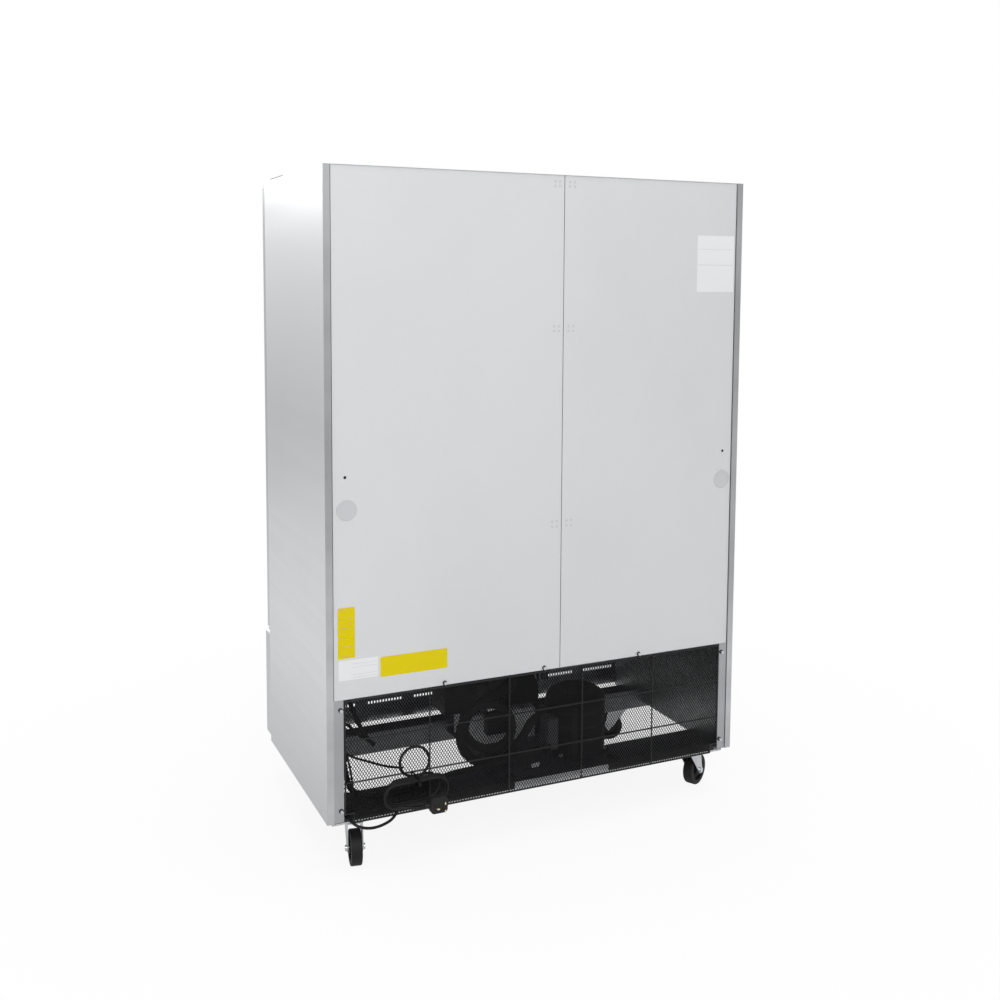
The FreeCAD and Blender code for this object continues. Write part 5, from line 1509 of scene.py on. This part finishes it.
    def relay_box(self) -> None:
        """Models the starting relay's box under the condenser's shroud."""
        work = bmesh.new()
        Shop.block(work, *(spot(*corner) for corner in self.relay))
        Shop.rounded(work, 3.0, 3)
        Shop.piece("relay_box", work, Surface.GRIP)

    def post_faces(self) -> None:
        """Models the bright steel folds of the side panels that the bay's posts carry, darkened as a painted
        reflection of a dimmer room.
        """
        work = bmesh.new()
        for start, end in (self.post, [2 * CAB.half - edge for edge in self.post]):
            Shop.block(work, spot(start, SUNK, self.post_low), spot(end, SHEET_OUT + 0.4, self.post_high))
        Shop.piece("post_faces", work, Surface.POST)

    def foot_rail(self) -> None:
        """Models the bright lower edge and a bright patch of the rail that the rear casters hang from, and
        black blocks as painted shade over the rest of the rail's face.
        """
        low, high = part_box("base_channels")
        left, right = (spot(place, 0.0, 0.0).x for place in self.unshaded_patch[::-1])
        inset = self.rail_end * MM
        bright = ((low.x, high.x, 0.2, 5.5, 0.25), (left, right, 5.4, 26.0, 0.3))
        # Painted shade: black blocks over the rail's face, behind the bright patch.
        painted = ((low.x + inset, high.x - inset, 5.5, 31.0, 0.2),)
        strips = (("foot_rail_face", Surface.RAIL, bright), ("foot_rail_painted_shade", Surface.BLACK_PAINT, painted))
        for name, surface, blocks in strips:
            work = bmesh.new()
            for start, end, bottom, top, proud in blocks:
                Shop.block(work, Vector((start, high.y - 0.05 * MM, low.z + bottom * MM)),
                           Vector((end, high.y + proud * MM, low.z + top * MM)))
            Shop.piece(name, work, surface)

    def drain_cup(self) -> None:
        """Models the dark funnel that brings the defrost drain through the bay's ceiling."""
        work = bmesh.new()
        place = spot(*self.drain)
        up, narrow, wide, tall = self.funnel
        Shop.disc(work, place + Vector((0, 0, up * MM)), Axis.Z, (narrow, wide), tall, 4)
        Shop.turn(work, work.verts, place, 45.0, Axis.Z)
        Shop.rounded(work, 3.0, 3)
        up, narrow, wide, tall = self.spout
        Shop.disc(work, place + Vector((0, 0, up * MM)), Axis.Z, (narrow, wide), tall, 24)
        Shop.piece("defrost_drain_cup", work, Surface.GRIP)

    def build(self) -> None:
        """Dresses the unit's nodes and builds its pieces."""
        Shop.dress(Surface.BAY, "bay_liner")
        Shop.dress(Surface.CHANNEL, "base_channels")
        Shop.dress(Surface.BASE, "unit_base_plate")
        Shop.dress(Surface.BLACK_PAINT, "compressor", "condenser_shroud")
        Shop.dress(Surface.BLACK_COIL, "condenser_coil")
        Shop.dress(Surface.FAN, "condenser_fan")
        Shop.dress(Surface.HOSE, "suction_hose", "liquid_line")
        for make in (self.jacket, self.jacket_straps, self.terminal_cover, self.rubber_feet,
                     self.return_bends, self.fan_guard):
            make()
        for name, radius, surface, points in self.wiring:
            Shop.strand(name, [spot(*point) for point in points], radius, surface)
        for make in (self.wire_tags, self.drain_cup, self.drip_tray, self.relay_box, self.foot_rail,
                     self.post_faces):
            make()


class ColdRoom:
    """The inside of the cabinet: foam, liner, front frame, shelves and evaporator."""

    def build(self) -> None:
        """Dresses the inside."""
        Shop.dress(Surface.FOAM, "foam_insulation")
        Shop.dress(Surface.LINER, "inner_liner", "shelf_supports", "evaporator_cover")
        Shop.dress(Surface.FRAME, "front_frame")
        Shop.dress(Surface.SHELF, "wire_shelves")
        Shop.dress(Surface.FINS, "evaporator_coil")
        Shop.dress(Surface.FAN, "evaporator_fan_left", "evaporator_fan_right")


@dataclass
class DoorLeaf:
    """One door with its core, gasket, grip and lock. Millimetres."""

    side: str
    gasket_lip: float = 2.0
    fold: float = 1.1
    fold_shares: Pair = (0.3, 0.7)
    ring: tuple[Pair, ...] = ((9.4, 0.0), (12.5, 0.0), (12.5, -0.8), (11.5, -1.8), (9.8, -1.8), (9.4, -1.4),
                              (9.4, 0.0))

    def gasket_bellows(self) -> None:
        """Models the folds that show round the gasket's outer edge."""
        low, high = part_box(f"door_gasket_{self.side}")
        work = bmesh.new()
        for share in self.fold_shares:
            y = low.y + (high.y - low.y) * share
            ring = Shop.block(work, Vector((low.x, y - self.fold * MM, low.z)),
                              Vector((high.x, y + self.fold * MM, high.z)))
            Shop.opened(work, [part for part in work.faces if abs(part.normal.y) > FACING
                               and all(vert in ring for vert in part.verts)])
        Shop.rounded(work, 0.3, 1)
        bmesh.ops.solidify(work, geom=work.faces, thickness=-self.gasket_lip * MM)
        Shop.piece(f"gasket_folds_{self.side}", work, Surface.GASKET, f"{self.side}_door")

    def lock_ring(self) -> None:
        """Models the ring round the lock."""
        low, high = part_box(f"door_lock_{self.side}")
        work = bmesh.new()
        Shop.turned(work, self.ring, Vector(((low.x + high.x) / 2, CAB.door_face * MM, (low.z + high.z) / 2)),
                    Axis.Y, 40)
        Shop.piece(f"lock_ring_{self.side}", work, Surface.ZINC, f"{self.side}_door")

    def build(self) -> None:
        """Dresses the door and builds its small pieces."""
        for part, surface in (("skin", Surface.DOOR), ("core", Surface.FRAME), ("gasket", Surface.GASKET),
                              ("handle", Surface.GRIP), ("lock", Surface.ZINC)):
            Shop.dress(surface, f"door_{part}_{self.side}")
        self.gasket_bellows()
        self.lock_ring()


@dataclass
class KickPanel:
    """The louvred panel under the doors with its controller. Millimetres."""

    window: tuple[Triple, Triple] = ((384.0, -365.2, 436.0), (424.0, -364.2, 456.0))

    def build(self) -> None:
        """Dresses the panel and builds the display window."""
        Shop.dress(Surface.DOOR, "kick_panel")
        Shop.dress(Surface.GRIP, "controller_housing")
        Shop.dress(Surface.COVER, "hinge_covers")
        Shop.dress(Surface.KEY, "controller_button_1", "controller_button_2", "controller_button_3")
        Shop.dress(Surface.ZINC, "hinge_brackets")
        work = bmesh.new()
        Shop.block(work, *(Vector(corner) * MM for corner in self.window))
        Shop.rounded(work, 0.4, 2)
        Shop.piece("display_window", work, Surface.GLASS)


@dataclass
class Casters:
    """The four casters. Millimetres."""

    names: tuple[str, ...] = ("rear_right", "rear_left", "front_right", "front_left")
    ring: tuple[Pair, ...] = ((18.0, 0.0), (33.0, 0.0), (34.0, 0.9), (31.0, 1.8), (22.0, 1.2), (18.0, 1.5),
                              (18.0, 0.0))
    ring_out: float = 5.8

    def hub_rings(self, name: str) -> None:
        """Models the raised rings on both hubs of one wheel.

        Args:
            name: Which caster.
        """
        joint = next(entry for entry in frame["joints"] if entry["name"] == f"{name}_roll")
        work = bmesh.new()
        for side in (-1, 1):
            Shop.turned(work, self.ring, ORIGIN, Axis.X, 48)
            fresh = [vert for vert in work.verts if not vert.tag]
            if side < 0:
                Shop.turn(work, fresh, ORIGIN, 180.0, Axis.Z)
            bmesh.ops.translate(work, verts=fresh, vec=Vector((side * self.ring_out * MM, 0.0, 0.0)))
            for vert in fresh:
                vert.tag = True
        turn = Vector((1, 0, 0)).rotation_difference(Vector(joint["axis"]).normalized()).to_matrix().to_4x4()
        bmesh.ops.transform(work, verts=work.verts, matrix=Matrix.Translation(Vector(joint["pos_m"])) @ turn)
        Shop.piece(f"hub_rings_{name}", work, Surface.TYRE, f"wheel_{name}")

    def build(self) -> None:
        """Dresses the casters and builds the wheels' rings."""
        Shop.dress(Surface.CASTER, "caster_plates")
        for name in self.names:
            Shop.dress(Surface.CASTER, f"caster_fork_{name}")
            Shop.dress(Surface.TYRE, f"caster_wheel_{name}")
            self.hub_rings(name)
        Shop.dress(Surface.PEDAL, "brake_pedal_left", "brake_pedal_right")


def main() -> None:
    """Builds the freezer's looks round its frame."""
    logging.basicConfig(level=logging.INFO, format="%(message)s")
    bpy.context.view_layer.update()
    Studio().build()
    for part in (MainsLead(), BackOfCabinet(), RearGuard(), CoolingUnit(), ColdRoom(), DoorLeaf("right"),
                 DoorLeaf("left"), KickPanel(), Casters()):
        LOG.info("%s", type(part).__name__)
        part.build()


if __name__ == "__main__":
    main()
